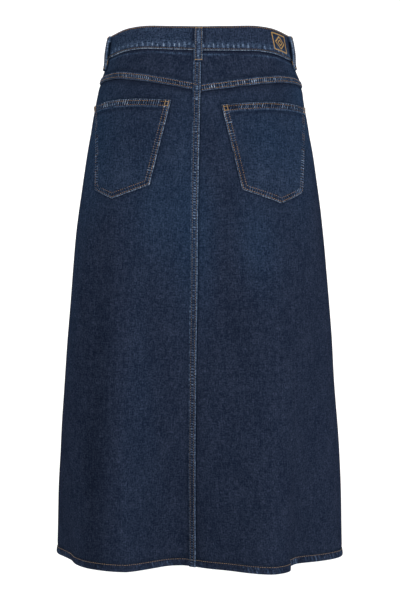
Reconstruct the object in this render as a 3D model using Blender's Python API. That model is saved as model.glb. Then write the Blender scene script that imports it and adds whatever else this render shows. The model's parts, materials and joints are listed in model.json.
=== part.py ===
"""A-line denim skirt of midi length, filled out as it is worn, with nobody in it.

Metres, +Z up. The origin is the middle of the waist, halfway up the waistband. The back of the
skirt faces -Y and its front +Y. +X is the wearer's right, -X the wearer's left.

Every place on the cloth is given by two measures: an angle round the body, in degrees from
centre back, positive towards the wearer's right, and a drop, the height below the top edge of
the waistband. A third, out, is the distance outwards from the face of the cloth.
"""

import math

import bmesh
import bpy
from mathutils import Vector

# Driving sizes, in metres.
LENGTH = 0.775  # waistband top to hem, straight down
BAND_HEIGHT = 0.035
BAND_SLANT = 0.0025  # how much lower the band's bottom edge is at the wearer's right side
HEM_HEIGHT = 0.010
CLOTH = 0.0013  # one layer of denim
SEAM_GAP = 0.0003  # between pieces that are sewn together
FRONT_DIP = 0.012  # how much lower the waist is at centre front

# Section through the skirt at each drop. Squareness 2 is an ellipse, more is fuller at the corners.
SECTIONS = [
    # drop, half_width, back_depth, front_depth, squareness
    (0.000, 0.1345, 0.098, 0.094, 2.50),
    (0.035, 0.1390, 0.102, 0.097, 2.45),
    (0.090, 0.1530, 0.116, 0.102, 2.45),
    (0.180, 0.1690, 0.129, 0.108, 2.50),
    (0.300, 0.1850, 0.133, 0.115, 2.45),
    (0.500, 0.2020, 0.133, 0.127, 2.30),
    (0.640, 0.2120, 0.133, 0.133, 2.15),
    (0.775, 0.2150, 0.133, 0.137, 2.00),
]

# Hanging folds. A height above 0 is a flute that stands out, below 0 a hollow, as deep as it
# gets at the hem. The widths are those of its left and right flanks, seen from behind.
FOLDS = [
    # hem_angle, lean, height, left_width, right_width, start_drop
    (-101.0, 0.0, 0.006, 12.0, 10.0, 0.40),
    (-84.0, 0.0, -0.015, 7.0, 15.0, 0.45),
    (-37.0, -14.0, 0.058, 25.0, 6.0, 0.14),
    (-17.0, 0.0, -0.046, 35.0, 26.0, 0.16),
    (34.5, 7.0, 0.048, 12.5, 26.0, 0.12),
    (60.0, 7.0, -0.042, 18.5, 18.0, 0.12),
    (127.0, 4.0, 0.030, 13.0, 17.0, 0.20),
    (155.0, 0.0, -0.018, 12.0, 14.0, 0.24),
    (182.0, 0.0, 0.024, 12.0, 15.0, 0.26),
    (207.0, 0.0, -0.020, 12.0, 12.0, 0.22),
    (236.0, -5.0, 0.034, 17.0, 12.0, 0.18),
]
FOLD_GROWTH = 1.6  # above 1, a fold opens slowly and is deepest near the hem

# Seams, as angles from centre back.
CENTRE_BACK_TOP = 1.6
CENTRE_BACK_HEM = -3.0
SIDE_SEAM = 95.0
CENTRE_FRONT = 180.0

# Felled seams: the raised strip that lies along one edge of a piece.
FELL_WIDTH = 0.0105
YOKE_FELL_WIDTH = 0.0085
FELL_RISE = 0.0011
FELL_STEP = 0.0008  # the width over which the strip rises
HEM_RISE = 0.0009  # on the face and on the inside

# Back yoke: the drop of its lower edge.
YOKES = {
    # side: centre_drop, side_drop, curve
    "left": (0.0935, 0.0665, 1.35),
    "right": (0.0935, 0.0712, 1.10),
}
YOKE_SPAN = 0.195  # round the cloth from centre back to where the side drop is reached

# Patch pockets. Distances go round the cloth from the middle line, away from it.
POCKETS = {
    # corner: (distance, drop)
    "left": {
        "inner_top": (0.041, 0.1120),
        "outer_top": (0.183, 0.1080),
        "inner_foot": (0.072, 0.2300),
        "point": (0.129, 0.2485),
        "outer_foot": (0.162, 0.2305),
    },
    "right": {
        "inner_top": (0.031, 0.1185),
        "outer_top": (0.180, 0.1120),
        "inner_foot": (0.059, 0.2365),
        "point": (0.119, 0.2545),
        "outer_foot": (0.161, 0.2365),
    },
}
POCKET_HEM = 0.0115
POCKET_HEM_RISE = 0.0009
MOUTH_BOW = 0.003  # how far the mouth's middle lies above the line between its corners
MOUTH_GAPE = 0.0012  # how far the mouth stands off the panel

# Waistband.
BAND_FACE = 0.0016  # its outer face, out from the cloth
BAND_INSIDE = -0.0014
OVERLAP = 0.014  # past centre front, on top, buttoned end
UNDERLAP = 0.034  # past centre front, below, the button's own end
UNDERLAP_RAMP = 0.014  # the length over which the underlap steps inwards

# Belt loops: a strip that is bar-tacked to the band's top and to the cloth below the band.
LOOP_WIDTH = 0.0115
LOOP_THICKNESS = 0.0019
LOOPS = {
    # name: angle, foot_out, end_drop
    "belt_loop_centre_back": (-1.1, 0.0015, 0.0520),
    "belt_loop_back_left": (-77.0, 0.0003, 0.0540),
    "belt_loop_back_right": (76.0, 0.0003, 0.0545),
    "belt_loop_front_left": (-141.0, 0.0003, 0.0525),
    "belt_loop_front_right": (141.0, 0.0003, 0.0525),
}
LOOP_PATH = [
    # drop, out
    (0.0016, 0.0019),
    (0.0060, 0.0019),
    (0.0100, 0.0036),
    (0.0170, 0.0044),
    (0.0290, 0.0043),
    (0.0375, 0.0034),
]
LOOP_FOOT = 0.0080  # the length that lies on the cloth at its lower end

# Fly: it lies on the wearer's left front and laps over the right one.
FLY_WIDTH = 0.036
FLY_LAP = 0.007
FLY_LENGTH = 0.150

# Shank button, turned. Radii and heights above the band.
BUTTON_DROP = 0.0175
BUTTON_PROFILE = [
    # radius, height
    (0.0000, 0.0031),
    (0.0050, 0.0030),
    (0.0066, 0.0034),
    (0.0078, 0.0033),
    (0.0084, 0.0026),
    (0.0082, 0.0019),
    (0.0045, 0.0016),
    (0.0040, 0.0003),
    (0.0000, 0.0003),
]
BUTTON_SIDES = 28

# Grid: how many columns and rows of faces a piece has.
PANEL_COLUMNS, PANEL_ROWS = 28, 14
YOKE_COLUMNS, YOKE_ROWS = 12, 3
POCKET_COLUMNS, POCKET_ROWS = 10, 7
BAND_STATIONS = 84
FLY_COLUMNS, FLY_ROWS = 5, 6

DENIM = (0.018, 0.026, 0.050)
ANTIQUE_COPPER = (0.36, 0.19, 0.10)


def mix(a, b, share):
    return a + (b - a) * share


def smoothstep(share):
    share = min(max(share, 0.0), 1.0)
    return share * share * (3 - 2 * share)


def section(drop):
    """(half_width, back_depth, front_depth, squareness) at a drop, on a smooth curve through SECTIONS."""
    last = len(SECTIONS) - 1
    i = max(k for k in range(last) if k == 0 or SECTIONS[k][0] <= drop)
    here, there = SECTIONS[i], SECTIONS[i + 1]
    span = there[0] - here[0]
    t = (drop - here[0]) / span

    def slope(k, column):
        a, b = SECTIONS[max(k - 1, 0)], SECTIONS[min(k + 1, last)]
        return (b[column] - a[column]) / (b[0] - a[0]) * span

    values = []
    for column in range(1, 5):
        p, q = here[column], there[column]
        m, n = slope(i, column), slope(i + 1, column)
        curve = (2 * t**3 - 3 * t**2 + 1) * p + (t**3 - 2 * t**2 + t) * m
        curve += (3 * t**2 - 2 * t**3) * q + (t**3 - t**2) * n
        values.append(curve)
    return values


def fold_height(angle, drop):
    """How far the hanging folds move the cloth out from its plain section."""
    total = 0.0
    for hem_angle, lean, height, left_width, right_width, start_drop in FOLDS:
        if drop <= start_drop:
            continue
        grown = (drop - start_drop) / (LENGTH - start_drop)
        off = (angle - hem_angle - lean * (1 - grown) + 180) % 360 - 180
        width = left_width if off < 0 else right_width
        total += height * grown**FOLD_GROWTH * math.exp(-((off / width) ** 2))
    return total


def face_point(angle, drop):
    """A point on the face of the cloth."""
    half_width, back_depth, front_depth, squareness = section(drop)
    turn = math.radians(angle)
    across, along = math.sin(turn), math.cos(turn)
    depth = back_depth if along > 0 else front_depth
    reach = (abs(across) / half_width) ** squareness + (abs(along) / depth) ** squareness
    radius = reach ** (-1 / squareness) + fold_height(angle, drop)
    dip = FRONT_DIP * max(0.0, -along) ** 1.5 * (1 - smoothstep(drop / 0.3))
    return Vector((radius * across, -radius * along, BAND_HEIGHT / 2 - drop - dip))


def on_cloth(angle, drop, out=0.0):
    """A point out from the face of the cloth, square to it."""
    point = face_point(angle, drop)
    if not out:
        return point
    round_body = face_point(angle + 0.3, drop) - face_point(angle - 0.3, drop)
    down_cloth = face_point(angle, drop + 0.001) - face_point(angle, drop - 0.001)
    return point + down_cloth.cross(round_body).normalized() * out


def turned_by(angle, drop, distance):
    """The angle reached by going a short distance round the cloth from an angle."""
    return angle + math.degrees(distance / face_point(angle, drop).xy.length)


def angle_at(distance, drop, side):
    """The angle that lies a distance round the cloth from the middle line, on a side (-1 or 1)."""
    angle, step = 0.0, 1.0
    here = face_point(0.0, drop)
    while True:
        there = face_point(angle + side * step, drop)
        stretch = (there - here).xy.length
        if stretch >= distance:
            return angle + side * step * distance / stretch
        distance -= stretch
        angle += side * step
        here = there


def centre_back(drop):
    """The centre back seam's angle: it drifts to the wearer's left, less and less towards the hem."""
    return mix(CENTRE_BACK_HEM, CENTRE_BACK_TOP, (1 - drop / LENGTH) ** 2)


def band_drop(angle):
    """The drop of the waistband's bottom edge at an angle."""
    return BAND_HEIGHT + BAND_SLANT * math.sin(math.radians(angle))


def yoke_drop(side, angle):
    """The drop of the yoke's lower edge at an angle."""
    centre_drop, side_drop, curve = YOKES[side]
    width = face_point(angle, centre_drop).xy.length * math.radians(abs(angle))
    share = max(0.0, 1 - width / YOKE_SPAN)
    return mix(side_drop, centre_drop, share**curve)


def even_columns(start, end, drop, count):
    """Shares from start to end that split the cloth into stretches of equal length at a drop."""
    fine = 200
    angles = [mix(start, end, k / fine) for k in range(fine + 1)]
    points = [face_point(angle, drop) for angle in angles]
    reached = [0.0]
    for a, b in zip(points, points[1:]):
        reached.append(reached[-1] + (b - a).length)
    shares, k = [], 0
    for column in range(count + 1):
        goal = reached[-1] * column / count
        while k < fine - 1 and reached[k + 1] < goal:
            k += 1
        shares.append((k + (goal - reached[k]) / (reached[k + 1] - reached[k])) / fine)
    return shares


def new_object(name, points, faces, material):
    mesh = bpy.data.meshes.new(name)
    mesh.from_pydata([tuple(p) for p in points], [], faces)
    mesh.materials.append(material)
    work = bmesh.new()
    work.from_mesh(mesh)
    bmesh.ops.recalc_face_normals(work, faces=work.faces)
    work.to_mesh(mesh)
    work.free()
    mesh.shade_smooth()
    mesh.set_sharp_from_angle(angle=math.radians(40))
    obj = bpy.data.objects.new(name, mesh)
    bpy.context.scene.collection.objects.link(obj)
    return obj


def wall(name, faces_out, faces_in, material):
    """A closed wall between two grids of points of the same size, its face and its inside."""
    rows, columns = len(faces_out), len(faces_out[0])
    points = [p for grid in (faces_out, faces_in) for row in grid for p in row]

    def at(layer, row, column):
        return (layer * rows + row) * columns + column

    faces = []
    for row in range(rows - 1):
        for column in range(columns - 1):
            ring = [(row, column), (row, column + 1), (row + 1, column + 1), (row + 1, column)]
            faces.append([at(0, *corner) for corner in ring])
            faces.append([at(1, *corner) for corner in reversed(ring)])
    for row in range(rows - 1):
        for column in (0, columns - 1):
            faces.append([at(0, row, column), at(0, row + 1, column), at(1, row + 1, column), at(1, row, column)])
    for column in range(columns - 1):
        for row in (0, rows - 1):
            faces.append([at(0, row, column), at(0, row, column + 1), at(1, row, column + 1), at(1, row, column)])
    return new_object(name, points, faces, material)


def tube(name, rings, material):
    """A closed bar through rings of points, capped at both ends."""
    sides = len(rings[0])
    points = [p for ring in rings for p in ring]
    faces = [list(range(sides)), list(range((len(rings) - 1) * sides, len(rings) * sides))]
    for k in range(len(rings) - 1):
        for i in range(sides):
            j = (i + 1) % sides
            faces.append([k * sides + i, k * sides + j, (k + 1) * sides + j, (k + 1) * sides + i])
    return new_object(name, points, faces, material)


def sewn_piece(name, start, end, top, bottom, shape, material):
    """A panel or yoke between two seams and two levels.

    start and end give a seam's angle at a drop, top and bottom a level's drop at an angle. shape
    names the grid and the raised strips: along the end seam, and along the lower edge.
    """
    shares = even_columns(start(LENGTH), end(LENGTH), shape["even_at"], shape["columns"])
    lift, depth = shape["edge_rise"], shape["edge_height"]
    edge_rows = [(depth + FELL_STEP, 0.0), (depth, lift), (0.0, lift)]
    rows = [(k / shape["rows"], 0.0, 0.0) for k in range(shape["rows"])]
    rows += [(1.0, above, rise) for above, rise in edge_rows]
    outer, inner = [], []
    for share, above, row_rise in rows:
        outer_row, inner_row = [], []
        for column in range(len(shares) + (3 if shape["fell"] else 0)):
            angle, drop, column_rise = place(
                start, end, top, bottom, shares, column, share, above, shape["fell"], edge_rows[0][0]
            )
            inside = -CLOTH - (row_rise if shape["hem_inside"] else 0.0)
            outer_row.append(on_cloth(angle, drop, max(row_rise, column_rise)))
            inner_row.append(on_cloth(angle, drop, inside))
        outer.append(outer_row)
        inner.append(inner_row)
    return wall(name, outer, inner, material)


def place(start, end, top, bottom, shares, column, share, above, fell, plain_height):
    """(angle, drop, rise) of one point of a sewn piece. The seams lean, so it takes a few rounds."""
    angle, drop, rise = (start(0.0) + end(0.0)) / 2, 0.0, 0.0
    for _ in range(4):
        low = bottom(angle) - (plain_height if share < 1 else 0.0)
        drop = mix(top(angle), low, share) - (above if share == 1 else 0.0)
        first = turned_by(start(drop), drop, SEAM_GAP / 2)
        last = turned_by(end(drop), drop, -SEAM_GAP / 2)
        plain_end = turned_by(last, drop, -FELL_WIDTH - FELL_STEP) if fell else last
        if column < len(shares):
            angle = mix(first, plain_end, shares[column])
        else:
            inward = (FELL_WIDTH, FELL_WIDTH / 2, 0.0)[column - len(shares)]
            angle, rise = turned_by(last, drop, -inward), FELL_RISE
    return angle, drop, rise


def back_panel(side, material):
    left = side == "left"
    shape = {
        "columns": PANEL_COLUMNS,
        "rows": PANEL_ROWS,
        "even_at": LENGTH,
        "edge_rise": HEM_RISE,
        "edge_height": HEM_HEIGHT,
        "hem_inside": True,
        "fell": left,
    }
    seams = (lambda drop: -SIDE_SEAM, centre_back) if left else (centre_back, lambda drop: SIDE_SEAM)
    return sewn_piece(
        f"back_panel_{side}",
        *seams,
        lambda angle: yoke_drop(side, angle) + SEAM_GAP,
        lambda angle: LENGTH,
        shape,
        material,
    )


def front_panel(side, material):
    left = side == "left"
    shape = {
        "columns": PANEL_COLUMNS,
        "rows": PANEL_ROWS,
        "even_at": LENGTH,
        "edge_rise": HEM_RISE,
        "edge_height": HEM_HEIGHT,
        "hem_inside": True,
        "fell": False,
    }
    if left:
        seams = (lambda drop: -CENTRE_FRONT, lambda drop: -SIDE_SEAM)
    else:
        seams = (lambda drop: SIDE_SEAM, lambda drop: CENTRE_FRONT)
    return sewn_piece(
        f"front_panel_{side}",
        *seams,
        lambda angle: band_drop(angle) + SEAM_GAP,
        lambda angle: LENGTH,
        shape,
        material,
    )


def yoke(side, material):
    left = side == "left"
    shape = {
        "columns": YOKE_COLUMNS,
        "rows": YOKE_ROWS,
        "even_at": BAND_HEIGHT,
        "edge_rise": FELL_RISE,
        "edge_height": YOKE_FELL_WIDTH,
        "hem_inside": False,
        "fell": left,
    }
    seams = (lambda drop: -SIDE_SEAM, centre_back) if left else (centre_back, lambda drop: SIDE_SEAM)
    return sewn_piece(
        f"yoke_{side}",
        *seams,
        lambda angle: band_drop(angle) + SEAM_GAP,
        lambda angle: yoke_drop(side, angle),
        shape,
        material,
    )


def pocket(side, material):
    """A five-sided patch, pointed at the foot, with a hem across its mouth."""
    corner = POCKETS[side]
    sign = -1 if side == "left" else 1
    point_share = (corner["point"][0] - corner["inner_foot"][0]) / (corner["outer_foot"][0] - corner["inner_foot"][0])
    before = round(POCKET_COLUMNS * point_share)
    columns = [point_share * k / before for k in range(before)]
    columns += [mix(point_share, 1.0, k / (POCKET_COLUMNS - before)) for k in range(POCKET_COLUMNS - before + 1)]

    def between(a, b, share):
        return mix(corner[a][0], corner[b][0], share), mix(corner[a][1], corner[b][1], share)

    outer, inner = [], []
    for row in range(POCKET_ROWS + 3):
        outer_row, inner_row = [], []
        for share in columns:
            mouth = between("inner_top", "outer_top", share)
            mouth = (mouth[0], mouth[1] - MOUTH_BOW * math.sin(math.pi * share))
            if share <= point_share:
                foot = between("inner_foot", "point", share / point_share)
            else:
                foot = between("point", "outer_foot", (share - point_share) / (1 - point_share))
            length = foot[1] - mouth[1]
            hem_shares = (0.0, POCKET_HEM / length, (POCKET_HEM + FELL_STEP) / length)
            if row < 3:
                down = hem_shares[row]
            else:
                down = mix(hem_shares[2], 1.0, (row - 2) / POCKET_ROWS)
            rise = POCKET_HEM_RISE if row < 2 else 0.0
            distance, drop = mix(mouth[0], foot[0], down), mix(mouth[1], foot[1], down)
            angle = angle_at(distance, drop, sign)
            gape = MOUTH_GAPE * max(0.0, 1 - down * length / 0.05) ** 2
            base = SEAM_GAP + gape
            outer_row.append(on_cloth(angle, drop, base + CLOTH + rise))
            inner_row.append(on_cloth(angle, drop, base))
        outer.append(outer_row)
        inner.append(inner_row)
    return wall(f"pocket_{side}", outer, inner, material)


def waistband(material):
    """A folded strip from its underlap end, round the body, to the overlap end that lies on top."""
    waist_radius = face_point(CENTRE_FRONT, BUTTON_DROP).xy.length
    overlap, underlap, ramp = (math.degrees(d / waist_radius) for d in (OVERLAP, UNDERLAP, UNDERLAP_RAMP))
    first, last = -CENTRE_FRONT - overlap, CENTRE_FRONT + underlap
    under_start = CENTRE_FRONT - overlap - ramp
    thickness = BAND_FACE - BAND_INSIDE
    edge = 0.0012
    profile = [
        # share of the band's height, drop added, share of its thickness
        (1.0, 0.0, 0.15),
        (1.0, 0.0, 0.85),
        (1.0, -edge, 1.0),
        (0.0, edge, 1.0),
        (0.0, 0.0, 0.70),
        (0.0, 0.0, 0.30),
        (0.0, edge, 0.0),
        (1.0, -edge, 0.0),
    ]
    rings = []
    for k in range(BAND_STATIONS + 1):
        angle = mix(first, last, k / BAND_STATIONS)
        inwards = (thickness + SEAM_GAP) * smoothstep((angle - under_start) / (ramp - 1.0))
        rings.append(
            [
                on_cloth(angle, band_drop(angle) * down + added, BAND_INSIDE - inwards + thickness * share)
                for down, added, share in profile
            ]
        )
    return tube("waistband", rings, material)


def belt_loop(name, angle, foot_out, end_drop, material):
    outer, inner = [], []
    for drop, out in LOOP_PATH + [(end_drop - LOOP_FOOT, foot_out), (end_drop, foot_out)]:
        across = [turned_by(angle, drop, LOOP_WIDTH * share) for share in (-0.5, 0.0, 0.5)]
        outer.append([on_cloth(a, drop, out + LOOP_THICKNESS) for a in across])
        inner.append([on_cloth(a, drop, out) for a in across])
    return wall(name, outer, inner, material)


def fly_front(material):
    """The fly's layer over the closure. Its foot curves up in a J, away from centre front."""
    outer, inner = [], []
    for row in range(FLY_ROWS + 1):
        outer_row, inner_row = [], []
        for column in range(FLY_COLUMNS + 1):
            share = column / FLY_COLUMNS
            top = band_drop(turned_by(CENTRE_FRONT, BAND_HEIGHT, FLY_WIDTH * share)) + SEAM_GAP
            lift = FLY_WIDTH * (1 - math.sqrt(max(0.0, 1 - share**2)))
            drop = top + (FLY_LENGTH - lift) * row / FLY_ROWS
            angle = turned_by(CENTRE_FRONT, drop, mix(-FLY_LAP, FLY_WIDTH - FLY_LAP, share))
            outer_row.append(on_cloth(angle, drop, SEAM_GAP + CLOTH))
            inner_row.append(on_cloth(angle, drop, SEAM_GAP))
        outer.append(outer_row)
        inner.append(inner_row)
    return wall("fly_front", outer, inner, material)


def button(material):
    """A shank button, turned about its own axis and set square on the waistband's overlap."""
    work = bmesh.new()
    profile = [work.verts.new((radius, 0.0, height)) for radius, height in BUTTON_PROFILE]
    edges = [work.edges.new(pair) for pair in zip(profile, profile[1:])]
    bmesh.ops.spin(
        work,
        geom=profile + edges,
        cent=(0, 0, 0),
        axis=(0, 0, 1),
        angle=math.tau,
        steps=BUTTON_SIDES,
        use_merge=True,
    )
    bmesh.ops.remove_doubles(work, verts=work.verts, dist=1e-6)
    bmesh.ops.recalc_face_normals(work, faces=work.faces)
    mesh = bpy.data.meshes.new("button")
    work.to_mesh(mesh)
    work.free()
    mesh.materials.append(material)
    mesh.shade_smooth()
    mesh.set_sharp_from_angle(angle=math.radians(40))
    obj = bpy.data.objects.new("button", mesh)
    bpy.context.scene.collection.objects.link(obj)
    seat = on_cloth(CENTRE_FRONT, BUTTON_DROP, BAND_FACE)
    obj.location = seat
    obj.rotation_mode = "QUATERNION"
    outwards = on_cloth(CENTRE_FRONT, BUTTON_DROP, 2 * BAND_FACE) - seat
    obj.rotation_quaternion = outwards.to_track_quat("Z", "Y")
    return obj


def new_material(name, colour, roughness, metallic):
    material = bpy.data.materials.new(name)
    material.use_nodes = True
    shader = material.node_tree.nodes["Principled BSDF"]
    shader.inputs["Base Color"].default_value = (*colour, 1)
    shader.inputs["Roughness"].default_value = roughness
    shader.inputs["Metallic"].default_value = metallic
    return material


def build():
    for obj in list(bpy.data.objects):
        bpy.data.objects.remove(obj)
    denim = new_material("denim", DENIM, 0.9, 0.0)
    metal = new_material("button_metal", ANTIQUE_COPPER, 0.35, 1.0)
    waistband(denim)
    for side in ("left", "right"):
        yoke(side, denim)
        back_panel(side, denim)
        front_panel(side, denim)
        pocket(side, denim)
    for name, (angle, foot_out, end_drop) in LOOPS.items():
        belt_loop(name, angle, foot_out, end_drop, denim)
    fly_front(denim)
    button(metal)


build()
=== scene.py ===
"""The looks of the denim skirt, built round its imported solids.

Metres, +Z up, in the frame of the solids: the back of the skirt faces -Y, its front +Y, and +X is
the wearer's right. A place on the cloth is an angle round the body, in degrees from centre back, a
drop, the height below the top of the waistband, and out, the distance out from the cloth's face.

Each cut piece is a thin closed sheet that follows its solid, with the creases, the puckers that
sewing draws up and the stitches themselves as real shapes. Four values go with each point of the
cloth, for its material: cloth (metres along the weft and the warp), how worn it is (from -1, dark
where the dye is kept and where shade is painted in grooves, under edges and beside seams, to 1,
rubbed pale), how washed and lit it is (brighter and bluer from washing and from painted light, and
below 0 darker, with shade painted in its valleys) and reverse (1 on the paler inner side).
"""

import json
import math

import bpy
import numpy as np
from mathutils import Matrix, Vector

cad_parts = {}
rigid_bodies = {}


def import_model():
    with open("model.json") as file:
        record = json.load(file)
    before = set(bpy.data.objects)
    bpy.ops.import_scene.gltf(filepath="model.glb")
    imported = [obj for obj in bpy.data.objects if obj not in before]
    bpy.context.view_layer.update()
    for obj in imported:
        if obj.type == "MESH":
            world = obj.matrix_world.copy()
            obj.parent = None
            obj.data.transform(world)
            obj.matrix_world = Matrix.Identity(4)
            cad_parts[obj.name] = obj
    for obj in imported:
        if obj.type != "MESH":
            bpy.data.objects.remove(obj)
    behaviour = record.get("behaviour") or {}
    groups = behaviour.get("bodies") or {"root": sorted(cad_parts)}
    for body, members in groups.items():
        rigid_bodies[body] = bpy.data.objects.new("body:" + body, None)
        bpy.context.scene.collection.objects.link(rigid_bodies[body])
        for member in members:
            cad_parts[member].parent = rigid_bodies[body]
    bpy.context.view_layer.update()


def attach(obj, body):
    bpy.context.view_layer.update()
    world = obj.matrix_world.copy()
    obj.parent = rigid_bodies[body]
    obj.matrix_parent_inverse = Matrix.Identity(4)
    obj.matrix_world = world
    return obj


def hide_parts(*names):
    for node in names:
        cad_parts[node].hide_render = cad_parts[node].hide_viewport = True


for startup_object in list(bpy.data.objects):
    bpy.data.objects.remove(startup_object)
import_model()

# --------------------------------------------------------------- sizes of the solids

LENGTH = 0.7756  # waistband top to hem, straight down
BAND_HEIGHT = 0.035
BAND_SLANT = 0.0025  # how much lower its bottom edge is at the wearer's right, and higher at the left
CLOTH = 0.0013  # one layer of denim
FRONT_DIP = 0.012  # how much lower the waist is at the front

SECTIONS = np.array(
    [
        # drop, half_width, back_depth, front_depth, squareness
        (0.000, 0.1345, 0.098, 0.094, 2.50),
        (0.035, 0.1390, 0.102, 0.097, 2.45),
        (0.090, 0.1530, 0.116, 0.102, 2.45),
        (0.180, 0.1690, 0.129, 0.108, 2.50),
        (0.300, 0.1850, 0.133, 0.115, 2.45),
        (0.500, 0.2020, 0.133, 0.127, 2.30),
        (0.640, 0.2120, 0.133, 0.133, 2.15),
        (0.775, 0.2150, 0.133, 0.137, 2.00),
    ]
)

FOLDS = [
    # hem_angle, lean, height, left_width, right_width, start_drop
    (-99.0, 0.0, 0.0085, 12.0, 8.0, 0.42),
    (-79.5, 0.0, -0.0148, 13.5, 12.0, 0.45),
    (-37.0, -14.0, 0.058, 25.0, 6.0, 0.14),
    (-17.0, 0.0, -0.046, 35.0, 26.0, 0.16),
    (34.5, 7.0, 0.048, 12.5, 26.0, 0.12),
    (60.0, 7.0, -0.042, 18.5, 18.0, 0.12),
    (127.0, 4.0, 0.030, 13.0, 17.0, 0.20),
    (155.0, 0.0, -0.018, 12.0, 14.0, 0.24),
    (182.0, 0.0, 0.024, 12.0, 15.0, 0.26),
    (207.0, 0.0, -0.020, 12.0, 12.0, 0.22),
    (236.0, -5.0, 0.034, 17.0, 12.0, 0.18),
]
FOLD_GROWTH = 1.6  # the power by which folds grow towards the hem
LEANS = [
    # hem_angle, lean, sideways (how far the crest leans over), width, start_drop
    (44.5, 7.0, 0.0060, 7.0, 0.20),
    (48.0, 7.0, -0.0056, 5.0, 0.20),
    (52.0, 7.0, -0.0070, 4.6, 0.20),
    (58.0, 7.0, 0.0016, 5.0, 0.20),
    (-49.0, -10.0, -0.0030, 7.0, 0.20),
]

CENTRE_BACK_TOP = 1.35  # angles of the seams
CENTRE_BACK_HEM = -3.35
SIDE_SEAM = 95.0
CENTRE_FRONT = 180.0
SEARCH_ROUNDS = 5  # of the searches that close in on a place
GUESSED_REACH = 0.15  # the distance from the skirt's axis to the cloth that one starts from
WAIST_REACH = 0.13  # about that distance at the waistband
SIGNS = {"left": -1, "right": 1}  # of the angles at the wearer's left and right

FELL_WIDTH = 0.0105
YOKE_FELL_WIDTH = 0.0085
FELL_RISE = 0.0011
HEM_RISE = 0.0009
TUCK = 0.0010  # how far a piece goes up under the one above it
PANEL_LENGTH = 0.69  # about, for the spacing of its rows of points
PANEL_FOOT = 0.0030  # how far above the hem's edge the panels end, inside the hem
GAP = 0.0003  # between a piece and what it lies on
ROLLED_IN = (0.0009, 0.0004)  # how far sewn side edges turn in, at the cloth's face and behind it

YOKES = {
    # side: centre_drop, side_drop, curve
    "left": (0.0956, 0.0697, 1.56),
    "right": (0.0969, 0.0752, 1.35),
}
YOKE_SPAN = 0.195  # round the cloth from centre back to where the side drop is reached
YOKE_ROWS = [
    # heights above the yoke's lower edge of the rows of points in its double part
    0.0000, 0.0003, 0.0007, 0.0012, 0.0017, 0.0021, 0.0026, 0.0034, 0.0043, 0.0052,
    0.0061, 0.0068, 0.0073, 0.0077, 0.0082, 0.0088, 0.0095, 0.0104, 0.0116, 0.0130,
]
FELL_COLUMNS = [
    # distances of the centre back fell's points from its left side
    -0.0006, 0.0002, 0.0009, 0.0016, 0.0022, 0.0028, 0.0036, 0.0046, 0.0056,
    0.0066, 0.0075, 0.0082, 0.0089, 0.0095, 0.0100, 0.0103, 0.0105,
]
PANEL_GRIDS = {"back": (150, 320), "front": (110, 230)}  # columns and rows of points
YOKE_COLUMNS = 300
YOKE_UPPER_ROWS = 15  # in its single part
FELL_ROWS = 900
BAND_STATIONS = 720
HEM_STEP = 0.0012  # round the hem, between its rings of points
LOOP_ROWS = 64
FINE_EDGE = (0.0003, 0.0015)  # spacing of points near a turned-in edge, and how far that reaches

POCKETS = {
    # corner: (distance round the cloth, drop)
    "left": {
        "inner_top": (0.0411, 0.1100),
        "outer_top": (0.1835, 0.1096),
        "inner_foot": (0.0719, 0.2300),
        "point": (0.1278, 0.2484),
        "outer_foot": (0.1620, 0.2340),
    },
    "right": {
        "inner_top": (0.0306, 0.1170),
        "outer_top": (0.1797, 0.1120),
        "inner_foot": (0.0600, 0.2370),
        "point": (0.1178, 0.2556),
        "outer_foot": (0.1602, 0.2379),
    },
}
POCKET_SIZE = (0.140, 0.125)  # about, across and down
MOUTH_CORNERS = 9  # how many corners of the outline are the mouth's
POCKET_HEM = 0.0118  # how far down the mouth's hem reaches
MOUTH_BOW = 0.0037  # how much higher the mouth is at its middle
SIDE_BOW = {"left": 0.0055, "right": 0.0020}  # how far the outer side is drawn in halfway down
MOUTH_GAPE = 0.0012  # how far the mouth stands off the panel
CORNER_GAPE = {"left": 0.0018, "right": 0.0004}  # more, at the mouth's outer corner
MOUTH_RUNGS = {"left": 2.60, "right": 3.30}  # how pale the ladder of puckers along the mouth is

BAND_FACE = 0.0016  # how far out the waistband's two faces are
BAND_INSIDE = -0.0014
OVERLAP = 0.014  # how far its left end goes past centre front
UNDERLAP = 0.034  # how far its right end goes past centre front, under the left one
UNDERLAP_RAMP = 0.014  # the stretch in which it steps inwards to do so

LOOP_WIDTH = 0.0110
LOOP_THICKNESS = 0.0019
LOOPS = {
    # name: angle, foot_out, end_drop, slack (how far more its middle stands off the band)
    "belt_loop_centre_back": (-1.1, 0.0015, 0.0525, 0.0),
    "belt_loop_back_left": (-75.5, 0.0021, 0.0522, 0.0023),
    "belt_loop_back_right": (75.0, 0.0021, 0.0512, 0.0026),
    "belt_loop_front_left": (-141.0, 0.0003, 0.0525, 0.0008),
    "belt_loop_front_right": (141.0, 0.0003, 0.0525, 0.0010),
}
# Drops of the tacks that show at the side of a loop, between it and the band.
LOOP_SIDE_TACKS = {"belt_loop_back_left": 0.0412, "belt_loop_back_right": 0.0420}
LOOP_PATH = [
    # drop, out
    (0.0016, 0.0019),
    (0.0060, 0.0019),
    (0.0100, 0.0030),
    (0.0170, 0.0034),
    (0.0290, 0.0033),
    (0.0375, 0.0028),
]
LOOP_FOOT = 0.0080  # the length that lies flat on the cloth below the band
LOOP_END = 0.0095  # the length that is turned under at both ends
# Places across half a loop, as shares of its half width.
LOOP_COLUMNS = np.array([-1.0, -0.985, -0.94, -0.86, -0.78, -0.71, -0.64, -0.52, -0.36, -0.18])

FLY_WIDTH = 0.036
FLY_LAP = 0.007  # how far it reaches past centre front
FLY_LENGTH = 0.150
BUTTON_DROP = 0.0175
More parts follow.
